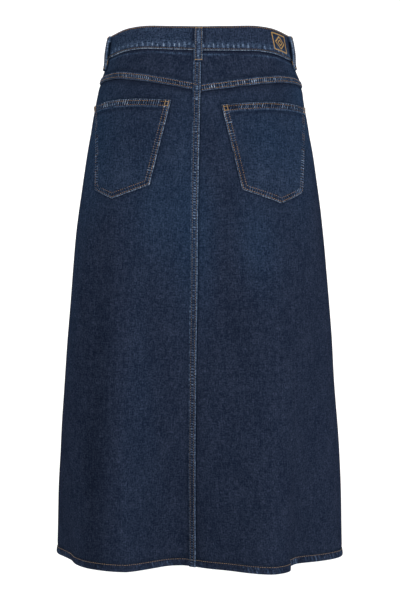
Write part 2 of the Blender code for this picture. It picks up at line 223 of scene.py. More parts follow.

# --------------------------------------------------------------- sizes of the sewing

# Soft creases in the cloth. A depth above 0 is a ridge, below 0 a trough.
CREASES = [
    # angle, drop, length, width, depth, turn (degrees from upright, + leans to +angle going down)
    (-91.0, 0.420, 0.300, 0.0400, -0.0026, 0.0),
    (88.0, 0.060, 0.050, 0.0260, 0.0052, 0.0),
    (-88.0, 0.060, 0.036, 0.0260, 0.0024, 0.0),
    (88.0, 0.440, 0.120, 0.0400, 0.0013, 0.0),
    (62.0, 0.047, 0.050, 0.0024, 0.0010, 82.0),
    (14.0, 0.104, 0.045, 0.0050, -0.0009, 62.0),
    (20.0, 0.112, 0.060, 0.0070, 0.0008, 55.0),
    (-14.0, 0.106, 0.040, 0.0050, -0.0007, -58.0),
    (-24.0, 0.338, 0.075, 0.0090, 0.0009, -78.0),
    (-33.0, 0.360, 0.060, 0.0070, -0.0007, -60.0),
    (24.0, 0.365, 0.080, 0.0110, -0.0008, 66.0),
    (38.0, 0.300, 0.070, 0.0090, 0.0007, 50.0),
    (-58.0, 0.420, 0.190, 0.0120, 0.0012, 3.0),
    (-64.0, 0.300, 0.150, 0.0080, -0.0009, -2.0),
    (9.0, 0.520, 0.160, 0.0150, -0.0012, 8.0),
    (-6.5, 0.600, 0.120, 0.0130, 0.0009, -5.0),
    (52.0, 0.470, 0.200, 0.0100, -0.0010, 4.0),
    (50.5, 0.560, 0.250, 0.0035, 0.0008, 2.0),
    (-60.5, 0.300, 0.110, 0.0045, 0.0009, -1.0),
    (70.0, 0.330, 0.130, 0.0120, 0.0010, -6.0),
    (84.0, 0.160, 0.090, 0.0090, -0.0010, 18.0),
    (-86.0, 0.170, 0.085, 0.0090, -0.0009, -22.0),
    (-112.0, 0.110, 0.070, 0.0080, 0.0009, -40.0),
    (-120.0, 0.300, 0.160, 0.0120, -0.0012, 6.0),
    (-138.0, 0.450, 0.190, 0.0130, 0.0011, -4.0),
    (-163.0, 0.230, 0.070, 0.0080, -0.0009, 52.0),
    (-171.0, 0.560, 0.130, 0.0120, 0.0010, 7.0),
    (112.0, 0.120, 0.075, 0.0090, -0.0009, 42.0),
    (124.0, 0.330, 0.150, 0.0110, 0.0011, -7.0),
    (143.0, 0.520, 0.180, 0.0140, -0.0012, 3.0),
    (161.0, 0.215, 0.065, 0.0080, 0.0009, -50.0),
    (172.0, 0.380, 0.120, 0.0110, -0.0010, 5.0),
]
# Slight waves all over, so that no stretch of cloth is perfectly even.
WAVES = [
    # turns round the body, waves down the skirt, height, phase
    (7, 1.3, 0.00035, 0.4),
    (11, -2.1, 0.00025, 2.1),
    (17, 3.2, 0.00018, 4.4),
    (23, -4.5, 0.00014, 1.2),
    (31, 6.3, 0.00010, 5.3),
]

# Broad soft patches where the cloth is brighter and bluer, partly from washing and partly painted
# light; where strength is below 0 it is darker, with shade painted in its valleys.
WASHES_AND_PAINTED_LIGHT = [
    # angle, drop, width in degrees, height, strength
    (-4.0, 0.280, 13.0, 0.120, 0.70),
    (-26.0, 0.260, 13.0, 0.080, 0.50),
    (31.0, 0.310, 12.0, 0.070, 0.50),
    (58.0, 0.230, 12.0, 0.080, 0.30),
    (0.0, 0.130, 45.0, 0.060, 0.22),
    (-77.0, 0.030, 14.0, 0.050, 0.75),
    (40.0, 0.165, 17.0, 0.055, 0.50),
    (70.0, 0.140, 11.0, 0.060, 0.30),
    (-72.0, 0.130, 9.0, 0.050, 0.35),
    (4.0, 0.175, 8.0, 0.060, -0.25),
    (-66.0, 0.180, 20.0, 0.100, 0.75),
    (76.0, 0.100, 16.0, 0.080, 0.70),
    (-76.0, 0.380, 9.0, 0.110, 0.35),
    (-51.0, 0.600, 8.0, 0.240, -0.60),
    (-37.0, 0.570, 7.0, 0.200, 0.18),
    (20.0, 0.400, 9.0, 0.110, -0.20),
    (150.0, 0.200, 34.0, 0.150, 0.50),
    (-148.0, 0.230, 34.0, 0.160, 0.50),
    (172.0, 0.580, 20.0, 0.200, -0.20),
    (118.0, 0.480, 14.0, 0.180, -0.18),
]

STITCH_PITCH = 0.0034
STITCH_LENGTH = 0.0025
STITCH_ARCH = 0.00022  # how far a stitch is lifted at its middle
THREAD = 0.00033  # radius
RIM_THREAD = 0.00036
SATIN_THREAD = 0.00026
SATIN_ARCH = 0.00020
BADGE_ARCH = 0.00032
GROOVE = 0.0006  # half the width of the groove that a row of stitches draws in

FELL_STITCHES = (0.0027, 0.0081)  # across the centre back fell, from its left side
YOKE_STITCHES = (0.0021, 0.0077)  # above the yoke's lower edge
MOUTH_STITCHES = (0.0027, 0.0083)  # below the pocket's mouth
POCKET_STITCHES = (0.0021, 0.0071)  # inside the pocket's other edges
BAND_STITCHES = (0.0017, 0.0021)  # in from the band's bottom and top edges
HEM_STITCH = 0.0099
LOOP_STITCH = 0.0041  # out from the loop's middle
FLY_STITCHES = (0.0022, 0.0085)  # in from the fly's outer edge
LOOP_TACKS = (0.0016, 0.0022)  # in from the loop's top and its foot
CORNER_STITCHES = (0.0002, 0.0084)  # where a pocket side's overstitching starts and ends
MOUTH_TACKS = ((0.0024, 0.0080), (0.0040, 0.0096))  # the same for the mouth's two rows

# Patch of gold embroidery on the waistband, at the wearer's right.
BADGE_DISTANCE = 0.1240  # round the cloth to its middle
BADGE_DROP = 0.0180
BADGE_WIDTH = 0.0272
BADGE_HEIGHT = 0.0232
BADGE_LEAN = 0.27  # how far it leans to the wearer's right for each step down
BADGE_SHAPES = [
    # stroke width, corners as shares of the badge's half width and half height
    (0.0021, [(-1, -1), (1, -1), (1, 1), (-1, 1)]),
    (0.0020, [(0, -0.74), (0.68, 0), (0, 0.74), (-0.68, 0)]),
    (0.0018, [(0, -0.34), (0.30, 0), (0, 0.34), (-0.30, 0)]),
]

# --------------------------------------------------------------- camera, light and colours

CAMERA_DISTANCE = 2.2
CAMERA_HEIGHT = -0.3755
LENS = 88.0
LIGHTS = {
    # name: place
    "key": (2.1, -2.1, 0.3),
    "top": (-0.2, -2.2, 1.8),
}
LIT_PLACE = (0.0, 0.0, -0.35)
LIGHT_SIZE = 1.3
LIGHT_POWER = 36.0

# Colours are red, green and blue from 0 to 1, linear.
YARNS = {
    # how the cloth is: colour of its dark places, colour of its pale ones
    "plain": ((0.0049, 0.0082, 0.0180), (0.0277, 0.0362, 0.0632)),
    "washed_and_painted_light": ((0.0054, 0.0126, 0.0296), (0.0315, 0.0560, 0.1040)),
    "unwashed_and_painted_shade": ((0.0027, 0.0045, 0.0097), (0.0152, 0.0199, 0.0341)),
    "inner": ((0.080, 0.100, 0.140), (0.270, 0.300, 0.345)),
}
RUBBED = ((0.080, 0.165, 0.320), (0.330, 0.385, 0.450))  # where it starts, and where it is worn most
KEPT_DYE_AND_SHADE = (0.0040, 0.0062, 0.0130)  # where the dye is kept, and where shade is painted in grooves, under edges and beside seams
COPPER = ((0.075, 0.040, 0.024), (0.500, 0.285, 0.165))  # in its hollows, and polished
STUDIO = ((0.86, 0.86, 0.86), (0.88, 0.88, 0.88))  # slightly uneven
THREADS = {
    # name: dark, light, roughness, sheen
    "brown": ((0.050, 0.036, 0.021), (0.165, 0.116, 0.064), 0.55, 0.1),
    "golden": ((0.085, 0.056, 0.022), (0.260, 0.175, 0.072), 0.55, 0.1),
    "tan": ((0.130, 0.074, 0.020), (0.390, 0.222, 0.056), 0.55, 0.1),
    "amber": ((0.118, 0.064, 0.014), (0.350, 0.190, 0.036), 0.55, 0.1),
    "orange": ((0.130, 0.072, 0.020), (0.300, 0.180, 0.058), 0.55, 0.1),
    "gold": ((0.130, 0.068, 0.012), (0.330, 0.200, 0.045), 0.38, 0.0),
}


# --------------------------------------------------------------- the cloth's form


def mix(a, b, share):
    return a + (b - a) * share


def smooth(share):
    share = np.clip(share, 0.0, 1.0)
    return share * share * (3 - 2 * share)


def hump(offset, width):
    """1 at no offset, falling smoothly to 0 past about two widths."""
    return np.exp(-((offset / width) ** 2))


def unit(vector):
    return vector / np.linalg.norm(vector)


def section_slopes():
    last = len(SECTIONS) - 1
    before = SECTIONS[[max(k - 1, 0) for k in range(last + 1)]]
    after = SECTIONS[[min(k + 1, last) for k in range(last + 1)]]
    return (after[:, 1:] - before[:, 1:]) / (after[:, :1] - before[:, :1])


SLOPES = section_slopes()


def section(drop):
    """Half width, back depth, front depth and squareness at each drop."""
    i = np.clip(np.searchsorted(SECTIONS[:, 0], drop, side="right") - 1, 0, len(SECTIONS) - 2)
    span = SECTIONS[i + 1, 0] - SECTIONS[i, 0]
    t = ((drop - SECTIONS[i, 0]) / span)[..., None]
    span = span[..., None]
    curve = (2 * t**3 - 3 * t**2 + 1) * SECTIONS[i, 1:] + (t**3 - 2 * t**2 + t) * span * SLOPES[i]
    curve += (3 * t**2 - 2 * t**3) * SECTIONS[i + 1, 1:] + (t**3 - t**2) * span * SLOPES[i + 1]
    return np.moveaxis(curve, -1, 0)


def off_angle(angle, centre):
    """How far an angle is from another, the short way round."""
    return (angle - centre + 180) % 360 - 180


def fold_height(angle, drop):
    """How far the hanging folds move the cloth out from its plain section."""
    total = np.zeros(np.broadcast(angle, drop).shape)
    for hem_angle, lean, height, left_width, right_width, start_drop in FOLDS:
        grown = np.clip((drop - start_drop) / (LENGTH - start_drop), 0.0, None)
        off = off_angle(angle, hem_angle + lean * (1 - grown))
        width = np.where(off < 0, left_width, right_width)
        total += height * grown**FOLD_GROWTH * hump(off, width)
    return total


def fold_lean(angle, drop):
    """How far the crests of the folds lean over sideways, towards +angle."""
    total = np.zeros(np.broadcast(angle, drop).shape)
    for hem_angle, lean, sideways, width, start_drop in LEANS:
        grown = np.clip((drop - start_drop) / (LENGTH - start_drop), 0.0, None)
        off = off_angle(angle, hem_angle + lean * (1 - grown))
        total += sideways * grown * hump(off, width)
    return total


def waist_set(angle, drop):
    """How far the worn waist is drawn in, and how far it hangs down: its sides sink a little, and
    its corners beside them stand up."""
    from_back = np.abs(off_angle(angle, 0.0))
    drawn_in = 0.0009 * hump(from_back - 86, 20) * (1 - smooth((drop - 0.020) / 0.030))
    sides = 0.0034 * smooth((from_back - 53) / 18) * (1 - smooth((from_back - 85) / 60))
    lifted = 0.0020 * hump(from_back - 43, 13) * (1 - smooth((drop - 0.036) / 0.030))
    middle = 0.0007 * hump(from_back, 14)
    return drawn_in, (sides + middle) * (1 - smooth((drop - 0.04) / 0.06)) - lifted


def face_point(angle, drop):
    """Points on the face of the smooth cloth."""
    angle, drop = np.broadcast_arrays(np.asarray(angle, float), np.asarray(drop, float))
    half_width, back_depth, front_depth, squareness = section(drop)
    turn = np.radians(angle)
    across, along = np.sin(turn), np.cos(turn)
    depth = np.where(along > 0, back_depth, front_depth)
    reach = (np.abs(across) / half_width) ** squareness + (np.abs(along) / depth) ** squareness
    drawn_in, sunk = waist_set(angle, drop)
    radius = reach ** (-1 / squareness) + fold_height(angle, drop) - drawn_in
    dip = FRONT_DIP * np.clip(-along, 0.0, None) ** 1.5 * (1 - smooth(drop / 0.3)) + sunk
    leaned = fold_lean(angle, drop)
    x, y = radius * across + leaned * along, leaned * across - radius * along
    return np.stack([x, y, BAND_HEIGHT / 2 - drop - dip], axis=-1)


def reach_of(angle, drop):
    """The distance from the skirt's axis to the cloth."""
    return np.linalg.norm(face_point(angle, drop)[..., :2], axis=-1)


def relief(angle, drop):
    """Height of the creases and slight waves. The firm waistband has next to none."""
    total = np.zeros(np.broadcast(angle, drop).shape)
    reach = reach_of(angle, drop)
    for centre, middle, length, width, depth, turn in CREASES:
        round_body = np.radians(off_angle(angle, centre)) * reach
        down = drop - middle
        lean = math.radians(turn)
        along = down * math.cos(lean) + round_body * math.sin(lean)
        across = round_body * math.cos(lean) - down * math.sin(lean)
        bend = across + 0.12 * along**2 / length
        total += depth * hump(along, length / 2) * hump(bend, width)
    for turns, waves, height, phase in WAVES:
        total += height * np.sin(np.radians(angle) * turns + drop / LENGTH * waves * math.tau + phase)
    return total * smooth((drop - 0.030) / 0.060)


def washed_and_painted_light(points):
    """How much brighter and bluer the cloth is at points on it, from washing and painted light; below
    0 it is darker, with shade painted in its valleys.
    """
    angle = np.degrees(np.arctan2(points[:, 0], -points[:, 1]))
    drop = BAND_HEIGHT / 2 - points[:, 2]
    total = np.zeros(len(points))
    for centre, middle, width, height, strength in WASHES_AND_PAINTED_LIGHT:
        total += strength * hump(off_angle(angle, centre), width) * hump(drop - middle, height)
    return total


def normals(angle, drop):
    """Outward normals of the smooth cloth."""
    round_body = face_point(angle + 0.3, drop) - face_point(angle - 0.3, drop)
    down_cloth = face_point(angle, drop + 0.001) - face_point(angle, drop - 0.001)
    normal = np.cross(down_cloth, round_body)
    return normal / np.linalg.norm(normal, axis=-1, keepdims=True)


def on_cloth(angle, drop, out):
    """Points out from the face of the cloth, with its creases."""
    angle, drop, out = np.broadcast_arrays(angle, drop, out)
    return face_point(angle, drop) + normals(angle, drop) * (out + relief(angle, drop))[..., None]


def turned_by(angle, drop, distance):
    """The angle reached by going a short distance round the cloth from an angle."""
    return angle + np.degrees(distance / reach_of(angle, drop))


def round_distance(angle, drop):
    """How far round the cloth an angle lies from the middle of the back, in 18 steps."""
    share = np.linspace(0, 1, 19)
    angle, drop = np.broadcast_arrays(angle, drop)
    points = face_point(angle[..., None] * share, drop[..., None])
    return np.sign(angle) * np.linalg.norm(np.diff(points[..., :2], axis=-2), axis=-1).sum(-1)


def angle_at(distance, drop):
    """The angle that lies a distance round the cloth from the middle of the back."""
    distance, drop = np.broadcast_arrays(np.asarray(distance, float), np.asarray(drop, float))
    angle = np.degrees(distance / GUESSED_REACH)
    for _ in range(SEARCH_ROUNDS):
        angle = turned_by(angle, drop, distance - round_distance(angle, drop))
    return angle


# --------------------------------------------------------------- seams and levels


def centre_back(drop):
    """The centre back seam's angle: it drifts to the wearer's left, less and less towards the hem,
    and sways back a little halfway down."""
    sway = 0.45 * hump(np.asarray(drop) - 0.375, 0.085)
    return mix(CENTRE_BACK_HEM, CENTRE_BACK_TOP, (1 - drop / LENGTH) ** 2) + sway


def straight_seam(angle):
    return lambda drop: np.full(np.shape(drop), float(angle))


def back_seams(side):
    """The seams at the lower and the higher angle of a back piece."""
    if side == "left":
        return straight_seam(-SIDE_SEAM), centre_back
    return centre_back, straight_seam(SIDE_SEAM)


def front_seams(side):
    """The same of a front piece."""
    if side == "left":
        return straight_seam(-CENTRE_FRONT), straight_seam(-SIDE_SEAM)
    return straight_seam(SIDE_SEAM), straight_seam(CENTRE_FRONT)


def past_fell(angle, drop):
    """How far round the cloth an angle lies past the folded edge of the centre back fell."""
    return np.radians(angle - centre_back(drop)) * reach_of(angle, drop)


def beside_fell(side, angle, drop, width):
    """How near the centre back fell is: 1 along it, or half as much at its left, and 0 far off."""
    past = past_fell(angle, drop)
    if side == "left":
        return 0.5 * hump(np.clip(-past - FELL_WIDTH, 0, None), width)
    return hump(np.clip(past, 0, None), width)


def band_drop(angle):
    """The drop of the waistband's bottom edge at an angle."""
    return BAND_HEIGHT + BAND_SLANT * np.sin(np.radians(angle))


def yoke_drop(side, angle):
    """The drop of the yoke's lower edge at an angle."""
    centre_drop, side_drop, curve = YOKES[side]
    width = reach_of(angle, centre_drop) * np.radians(np.abs(angle))
    return mix(side_drop, centre_drop, np.clip(1 - width / YOKE_SPAN, 0.0, None) ** curve)


def even_shares(start, end, drop, count):
    """Shares from start to end that split the cloth into stretches of equal length at a drop."""
    shares = np.linspace(0, 1, 601)
    points = face_point(mix(start, end, shares), drop)
    reached = np.append(0, np.cumsum(np.linalg.norm(np.diff(points, axis=0), axis=1)))
    return np.interp(np.linspace(0, reached[-1], count + 1), reached, shares)


def graded(length, step, fine, reach):
    """Shares of a length: steps that are fine within reach of both ends and even between."""
    ends = np.arange(0, reach, fine)
    middle = np.linspace(reach, length - reach, max(2, round((length - 2 * reach) / step) + 1))
    return np.concatenate([ends, middle, (length - ends)[::-1]]) / length


def sewn_grid(seams, shares, rows, drop_at):
    """Angles and drops of rows of points between two seams. drop_at gives the drops at angles."""
    angle = np.full((rows, len(shares)), (seams[0](0.0) + seams[1](0.0)) / 2)
    for _ in range(SEARCH_ROUNDS):
        drop = drop_at(angle)
        angle = mix(seams[0](drop), seams[1](drop), shares)
    return angle, drop


def lengths(points, axis):
    """Distance along a grid of points from its first row or column."""
    steps = np.linalg.norm(np.diff(points, axis=axis), axis=-1)
    reached = np.cumsum(steps, axis=axis)
    first = np.zeros_like(np.take(reached, [0], axis=axis))
    return np.concatenate([first, reached], axis=axis)


def grain(points):
    """Metres along the weft and the warp: the warp runs down the middle of the piece."""
    weft = lengths(points, 1)
    warp = lengths(points, 0)
    middle = points.shape[1] // 2
    weft = weft - weft[:, middle : middle + 1]
    warp = np.broadcast_to(warp[:, middle : middle + 1], weft.shape)
    return np.stack([weft, warp], axis=-1)


def puckers(along, spacing, seed, sharpness=0.30, uneven=1.0):
    """Little ridges along a line of sewing, from 0 between them to about 1."""
    random = np.random.default_rng(seed)
    low, high = float(np.min(along)), float(np.max(along))
    count = int((high - low) / spacing / 0.7) + 3
    centres = low - spacing + np.cumsum(spacing * (1 + uneven * random.uniform(-0.3, 0.35, count)))
    heights = 1 - 0.75 * random.uniform(0.0, uneven, count)
    swell = np.sin(centres / 0.047 + seed) + 0.7 * np.sin(centres / 0.019 + 2.3 * seed)
    heights *= np.clip(0.78 + 0.28 * uneven * swell, 0.15, 1.3)
    widths = spacing * sharpness * random.uniform(0.8, 1.3, count)
    total = np.zeros(np.shape(along))
    for centre, height, width in zip(centres, heights, widths):
        total += height * hump(along - centre, width)
    return total


def to_edge(points, a, b):
    """How far points lie from the edge a to b, and how far along it their nearest places are."""
    edge = b - a
    share = np.clip(((points - a) @ edge) / (edge @ edge), 0, 1)
    away = np.linalg.norm(points - a - share[..., None] * edge, axis=-1)
    return away, share * np.linalg.norm(edge)


def outline_distance(points, corners):
    """Signed distance from points to a closed outline of corners, above 0 inside it."""
    nearest = np.full(points.shape[:-1], np.inf)
    inside = np.zeros(points.shape[:-1], bool)
    for a, b in zip(corners, np.roll(corners, -1, axis=0)):
        nearest = np.minimum(nearest, to_edge(points, a, b)[0])
        crosses = (a[1] > points[..., 1]) != (b[1] > points[..., 1])
        with np.errstate(divide="ignore", invalid="ignore"):
            where = (b[0] - a[0]) * (points[..., 1] - a[1]) / (b[1] - a[1]) + a[0]
        inside ^= crosses & (points[..., 0] < where)
    return np.where(inside, nearest, -nearest)


def bowed(start, end, shares, bow):
    """Points at shares along a line from start to end, which is drawn back by bow halfway."""
    shares = np.asarray(shares)[..., None]
    return mix(np.array(start), np.array(end), shares) - np.array(bow) * np.sin(math.pi * shares)


def pocket_outline(side):
    """Corners of a pocket as (signed distance round the cloth, drop). The first MOUTH_CORNERS of
    them are its bowed mouth, and the next ones go down its outer side."""
    corner = POCKETS[side]
    along_mouth = np.linspace(0, 1, MOUTH_CORNERS)
    mouth = bowed(corner["inner_top"], corner["outer_top"], along_mouth, (0.0, MOUTH_BOW))
    down_side = (0.2, 0.4, 0.6, 0.8, 1.0)
    outer_side = bowed(corner["outer_top"], corner["outer_foot"], down_side, (SIDE_BOW[side], 0.0))
    foot = [corner["point"], corner["inner_foot"]]
    return np.concatenate([mouth, outer_side, foot]) * (SIGNS[side], 1)


# --------------------------------------------------------------- meshes


def new_object(name, data):
    obj = bpy.data.objects.new(name, data)
    bpy.context.scene.collection.objects.link(obj)
    return obj


def mesh_object(name, points, faces, material):
    mesh = bpy.data.meshes.new(name)
    mesh.from_pydata(points, [], faces)
    mesh.materials.append(material)
    mesh.shade_smooth()
    return new_object(name, mesh)


def new_piece(name, points, faces, material, **values):
    """A mesh that rides on the skirt. values are numbers or vectors that go with its points."""
    obj = mesh_object(name, points.reshape(-1, 3), faces, material)
    for key, value in values.items():
        value = np.asarray(value, np.float32)
        vector = value.shape[-1] == 3 and value.ndim > 1
        layer = obj.data.attributes.new(key, "FLOAT_VECTOR" if vector else "FLOAT", "POINT")
        layer.data.foreach_set("vector" if vector else "value", value.ravel())
    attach(obj, "root")
    return obj


def quads(first, second, third, fourth):
    return np.stack([first, second, third, fourth], axis=-1).reshape(-1, 4).tolist()


def cloth_piece(name, points, faces, cloth, wear, reverse, material):
    """A piece of cloth, with what its material needs to know at each point."""
    cloth = np.column_stack([cloth.reshape(-1, 2), np.zeros(len(points))])
    values = {"cloth": cloth, "wear": wear, "wash_and_painted_light": washed_and_painted_light(points), "reverse": reverse}
    return new_piece(name, points, faces, material, **values)


def shell(name, outer, inner, cloth, wear, material, coarse, reverse=1.0):
    """A closed sheet: a fine outer grid of points, and an inner one that keeps every coarse-th
    row and column, joined round the rim. Rows go down and columns towards +angle."""
    rows, columns = outer.shape[:2]
    kept_rows = np.unique(np.append(np.arange(0, rows, coarse), rows - 1))
    kept_columns = np.unique(np.append(np.arange(0, columns, coarse), columns - 1))
    lining = np.ix_(kept_rows, kept_columns)
    front = np.arange(rows * columns).reshape(rows, columns)
    back = rows * columns + np.arange(len(kept_rows) * len(kept_columns)).reshape(len(kept_rows), -1)
    faces = quads(front[:-1, :-1], front[1:, :-1], front[1:, 1:], front[:-1, 1:])
    faces += quads(back[:-1, :-1], back[:-1, 1:], back[1:, 1:], back[1:, :-1])

    def rim(line, kept, inner_line, forward):
        for k in range(len(kept) - 1):
            ring = [*line[kept[k] : kept[k + 1] + 1].tolist(), int(inner_line[k + 1]), int(inner_line[k])]
            faces.append(ring if forward else ring[::-1])

    rim(front[0], kept_columns, back[0], True)
    rim(front[-1], kept_columns, back[-1], False)
    rim(front[:, 0], kept_rows, back[:, 0], False)
    rim(front[:, -1], kept_rows, back[:, -1], True)
    points = np.concatenate([outer.reshape(-1, 3), inner[lining].reshape(-1, 3)])
    weave = np.concatenate([cloth.reshape(-1, 2), cloth[lining].reshape(-1, 2)])
    wear = np.append(np.broadcast_to(wear, front.shape), np.zeros(back.size))
    inside = np.append(np.zeros(front.size), np.full(back.size, reverse))
    return cloth_piece(name, points, faces, weave, wear, inside, material)


def tube(name, rings, cloth, wear, material):
    """A closed bar through rings of points, each going the same way round, capped at both ends."""
    index = np.arange(rings.shape[0] * rings.shape[1]).reshape(rings.shape[:2])
    turned = np.roll(index, -1, axis=1)
    faces = quads(index[:-1], turned[:-1], turned[1:], index[1:])
    faces += [index[0].tolist()[::-1], index[-1].tolist()]
    wear = np.broadcast_to(wear, index.shape).ravel()
    inside = np.zeros(index.size)
    return cloth_piece(name, rings.reshape(-1, 3), faces, cloth, wear, inside, material)


def lathe(seat, axes, profile, sides):
    """Points and faces of a round shape, turned about the last of three axes. profile has rows of
    radius and height, from its middle outwards. The points of its last ring come too."""
    radius, height = np.array(profile).T
    turn = math.tau * np.arange(sides) / sides
    spokes = np.cos(turn)[:, None] * axes[0] + np.sin(turn)[:, None] * axes[1]
    rings = seat + radius[1:, None, None] * spokes + height[1:, None, None] * axes[2]
    points = np.concatenate([[seat + height[0] * axes[2]], rings.reshape(-1, 3)])
    index = 1 + np.arange(len(points) - 1).reshape(-1, sides)
    turned = np.roll(index, -1, axis=1)
    faces = quads(index[:-1], index[1:], turned[1:], turned[:-1])
    faces += np.stack([np.zeros(sides, int), index[0], turned[0]], axis=-1).tolist()
    return points, faces, index[-1].tolist()


# --------------------------------------------------------------- materials


class Surface:
    """A material that is put together node by node."""

    def __init__(self, name):
        self.material = bpy.data.materials.new(name)
        self.material.use_nodes = True
        self.tree = self.material.node_tree
        self.shader = self.tree.nodes["Principled BSDF"]

    def node(self, kind, inputs=None, **settings):
        node = self.tree.nodes.new("ShaderNode" + kind)
        for key, value in settings.items():
            setattr(node, key, value)
        for key, value in (inputs or {}).items():
            self.feed(node.inputs[key], value)
        return node

    def feed(self, socket, value):
        if isinstance(value, bpy.types.NodeSocket):
            self.tree.links.new(value, socket)
        else:
            socket.default_value = value

    def value(self, name):
        """A number that goes with the mesh's points."""
        return self.node("Attribute", attribute_name=name).outputs["Fac"]

    def vector(self, name, scale):
        """A vector that goes with the mesh's points, scaled."""
        source = self.node("Attribute", attribute_name=name).outputs["Vector"]
        return self.node("VectorMath", {0: source, 1: scale}, operation="MULTIPLY").outputs[0]

    def noise(self, scale, detail=2.0):
        inputs = {"Vector": self.vector("cloth", scale), "Scale": 1.0, "Detail": detail}
        return self.node("TexNoise", inputs).outputs["Fac"]

    def diagonal(self, vector, **inputs):
        """Stripes at a slant, such as a twill's or a twisted thread's."""
        inputs = {"Vector": vector, **inputs}
        return self.node("TexWave", inputs, bands_direction="DIAGONAL").outputs["Fac"]

    def maths(self, operation, a, b=0.0, clamp=False):
        return self.node("Math", {0: a, 1: b}, operation=operation, use_clamp=clamp).outputs[0]

    def blend(self, share, a, b):
        """Mixes two colours, each a socket or red, green and blue."""
        node = self.node("Mix", data_type="RGBA")
        for key, value in {"Factor": share, "A": a, "B": b}.items():
            socket = next(s for s in node.inputs if s.name == key and s.enabled)
            self.feed(socket, (*value, 1.0) if isinstance(value, tuple) else value)
        return next(s for s in node.outputs if s.enabled)

    def weighted(self, *terms):
        """0.5 plus each term's part: (value round 0.5, weight)."""
        total = 0.5
        for value, weight in terms:
            part = self.maths("MULTIPLY", self.maths("SUBTRACT", value, 0.5), weight)
            total = self.maths("ADD", part, total)
        return total

    def bump(self, height, distance, strength):
        inputs = {"Height": height, "Distance": distance, "Strength": strength}
        return self.node("Bump", inputs).outputs["Normal"]

    def finish(self, **sockets):
        for name, value in sockets.items():
            self.feed(self.shader.inputs[name.replace("_", " ")], value)
        return self.material


def denim_material():
    """Washed indigo twill: pale weft shows between dark warp yarns, and more where it is rubbed."""
    s = Surface("denim_cloth")
    wear, wash_and_painted_light, reverse = s.value("wear"), s.value("wash_and_painted_light"), s.value("reverse")
    twill = s.diagonal(s.vector("cloth", (1.45, 1.0, 1.0)), Scale=780.0, Distortion=1.2, Detail=1.0)
    fleck = s.noise((470.0, 400.0, 1.0), 1.0)
    warp = s.noise((620.0, 120.0, 1.0), 1.0)
    weft = s.noise((130.0, 560.0, 1.0), 1.0)
    slub = s.noise((330.0, 16.0, 1.0), 1.0)
    mottle = s.noise((170.0, 140.0, 1.0))
    patch = s.noise((62.0, 52.0, 1.0))
    cloudy = s.noise((24.0, 15.0, 1.0))
    fine = s.weighted((fleck, 1.15), (warp, 0.75), (weft, 0.60), (slub, 0.32))
    yarns = s.weighted((fine, 1.0), (mottle, 0.50), (patch, 0.30), (cloudy, 0.30))
    shade = s.maths("POWER", s.maths("MAXIMUM", yarns, 0.0), 1.7)
    cloth = {name: s.blend(shade, *colours) for name, colours in YARNS.items()}
    # brighter and bluer where the cloth is washed and where light is painted on
    colour = s.blend(s.maths("MULTIPLY", wash_and_painted_light, 1.0, clamp=True), cloth["plain"], cloth["washed_and_painted_light"])
    # darker where shade is painted in the valleys
    colour = s.blend(s.maths("MULTIPLY", wash_and_painted_light, -1.0, clamp=True), colour, cloth["unwashed_and_painted_shade"])
    speckle = s.weighted((fleck, 1.8), (warp, 1.2), (weft, 1.0))
    rubbed = s.maths("MULTIPLY", s.maths("MULTIPLY", wear, speckle, clamp=True), 1.15, clamp=True)
    colour = s.blend(rubbed, colour, s.blend(rubbed, *RUBBED))
    # darker where the dye is kept and where shade is painted in grooves, under edges and beside seams
    colour = s.blend(s.maths("MULTIPLY", wear, -1.0, clamp=True), colour, KEPT_DYE_AND_SHADE)
    rough = s.node("MapRange", {"Value": mottle, "To Min": 0.82, "To Max": 0.96}).outputs[0]
    raised = s.weighted((twill, 0.8), (warp, 0.7), (fleck, 0.8), (weft, 0.4))
    return s.finish(
        Base_Color=s.blend(reverse, colour, cloth["inner"]),
        Roughness=rough,
        Specular_IOR_Level=0.0,
        Normal=s.bump(raised, 0.00025, 0.8),
    )


def thread_material(name, dark, light, roughness, sheen):
    """Twisted sewing thread. cloth holds metres along and round a stitch, and a tone of its own."""
    s = Surface(f"thread_{name}")
    place = s.node("Attribute", attribute_name="cloth").outputs["Vector"]
    tone = s.node("SeparateXYZ", {0: place}).outputs[2]
    twist = s.diagonal(s.vector("cloth", (1.0, 1.0, 0.0)), Scale=620.0)
    fuzz = s.noise((900.0, 900.0, 37.0))
    shade = s.weighted((tone, 0.8), (twist, 0.5), (fuzz, 0.5))
    return s.finish(
        Base_Color=s.blend(shade, dark, light),
        Roughness=roughness,
        Specular_IOR_Level=0.35,
        Sheen_Weight=sheen,
        Normal=s.bump(twist, 0.00012, 0.8),
    )


def metal_material():
    """Antique copper: dark in its hollows, polished where it is touched."""
    s = Surface("antique_copper")
    spots = s.noise((900.0, 900.0, 900.0), 3.0)
    spotted = s.maths("MULTIPLY", s.maths("SUBTRACT", spots, 0.5), 0.7)
    shade = s.maths("ADD", s.value("wear"), spotted, clamp=True)
    rough = s.node("MapRange", {"Value": shade, "To Min": 0.52, "To Max": 0.26}).outputs[0]
    return s.finish(
        Base_Color=s.blend(shade, *COPPER),
        Roughness=rough,
        Metallic=1.0,
        Normal=s.bump(spots, 0.00005, 0.4),
    )


def studio_material():
    s = Surface("studio_white")
    unevenness = s.node("TexNoise", {"Scale": 3.0, "Detail": 2.0}).outputs["Fac"]
    return s.finish(
        Base_Color=s.blend(unevenness, *STUDIO),
        Roughness=0.9,
        Specular_IOR_Level=0.1,
        Emission_Color=(1.0, 1.0, 1.0, 1.0),
        Emission_Strength=0.24,
    )


# --------------------------------------------------------------- stitches


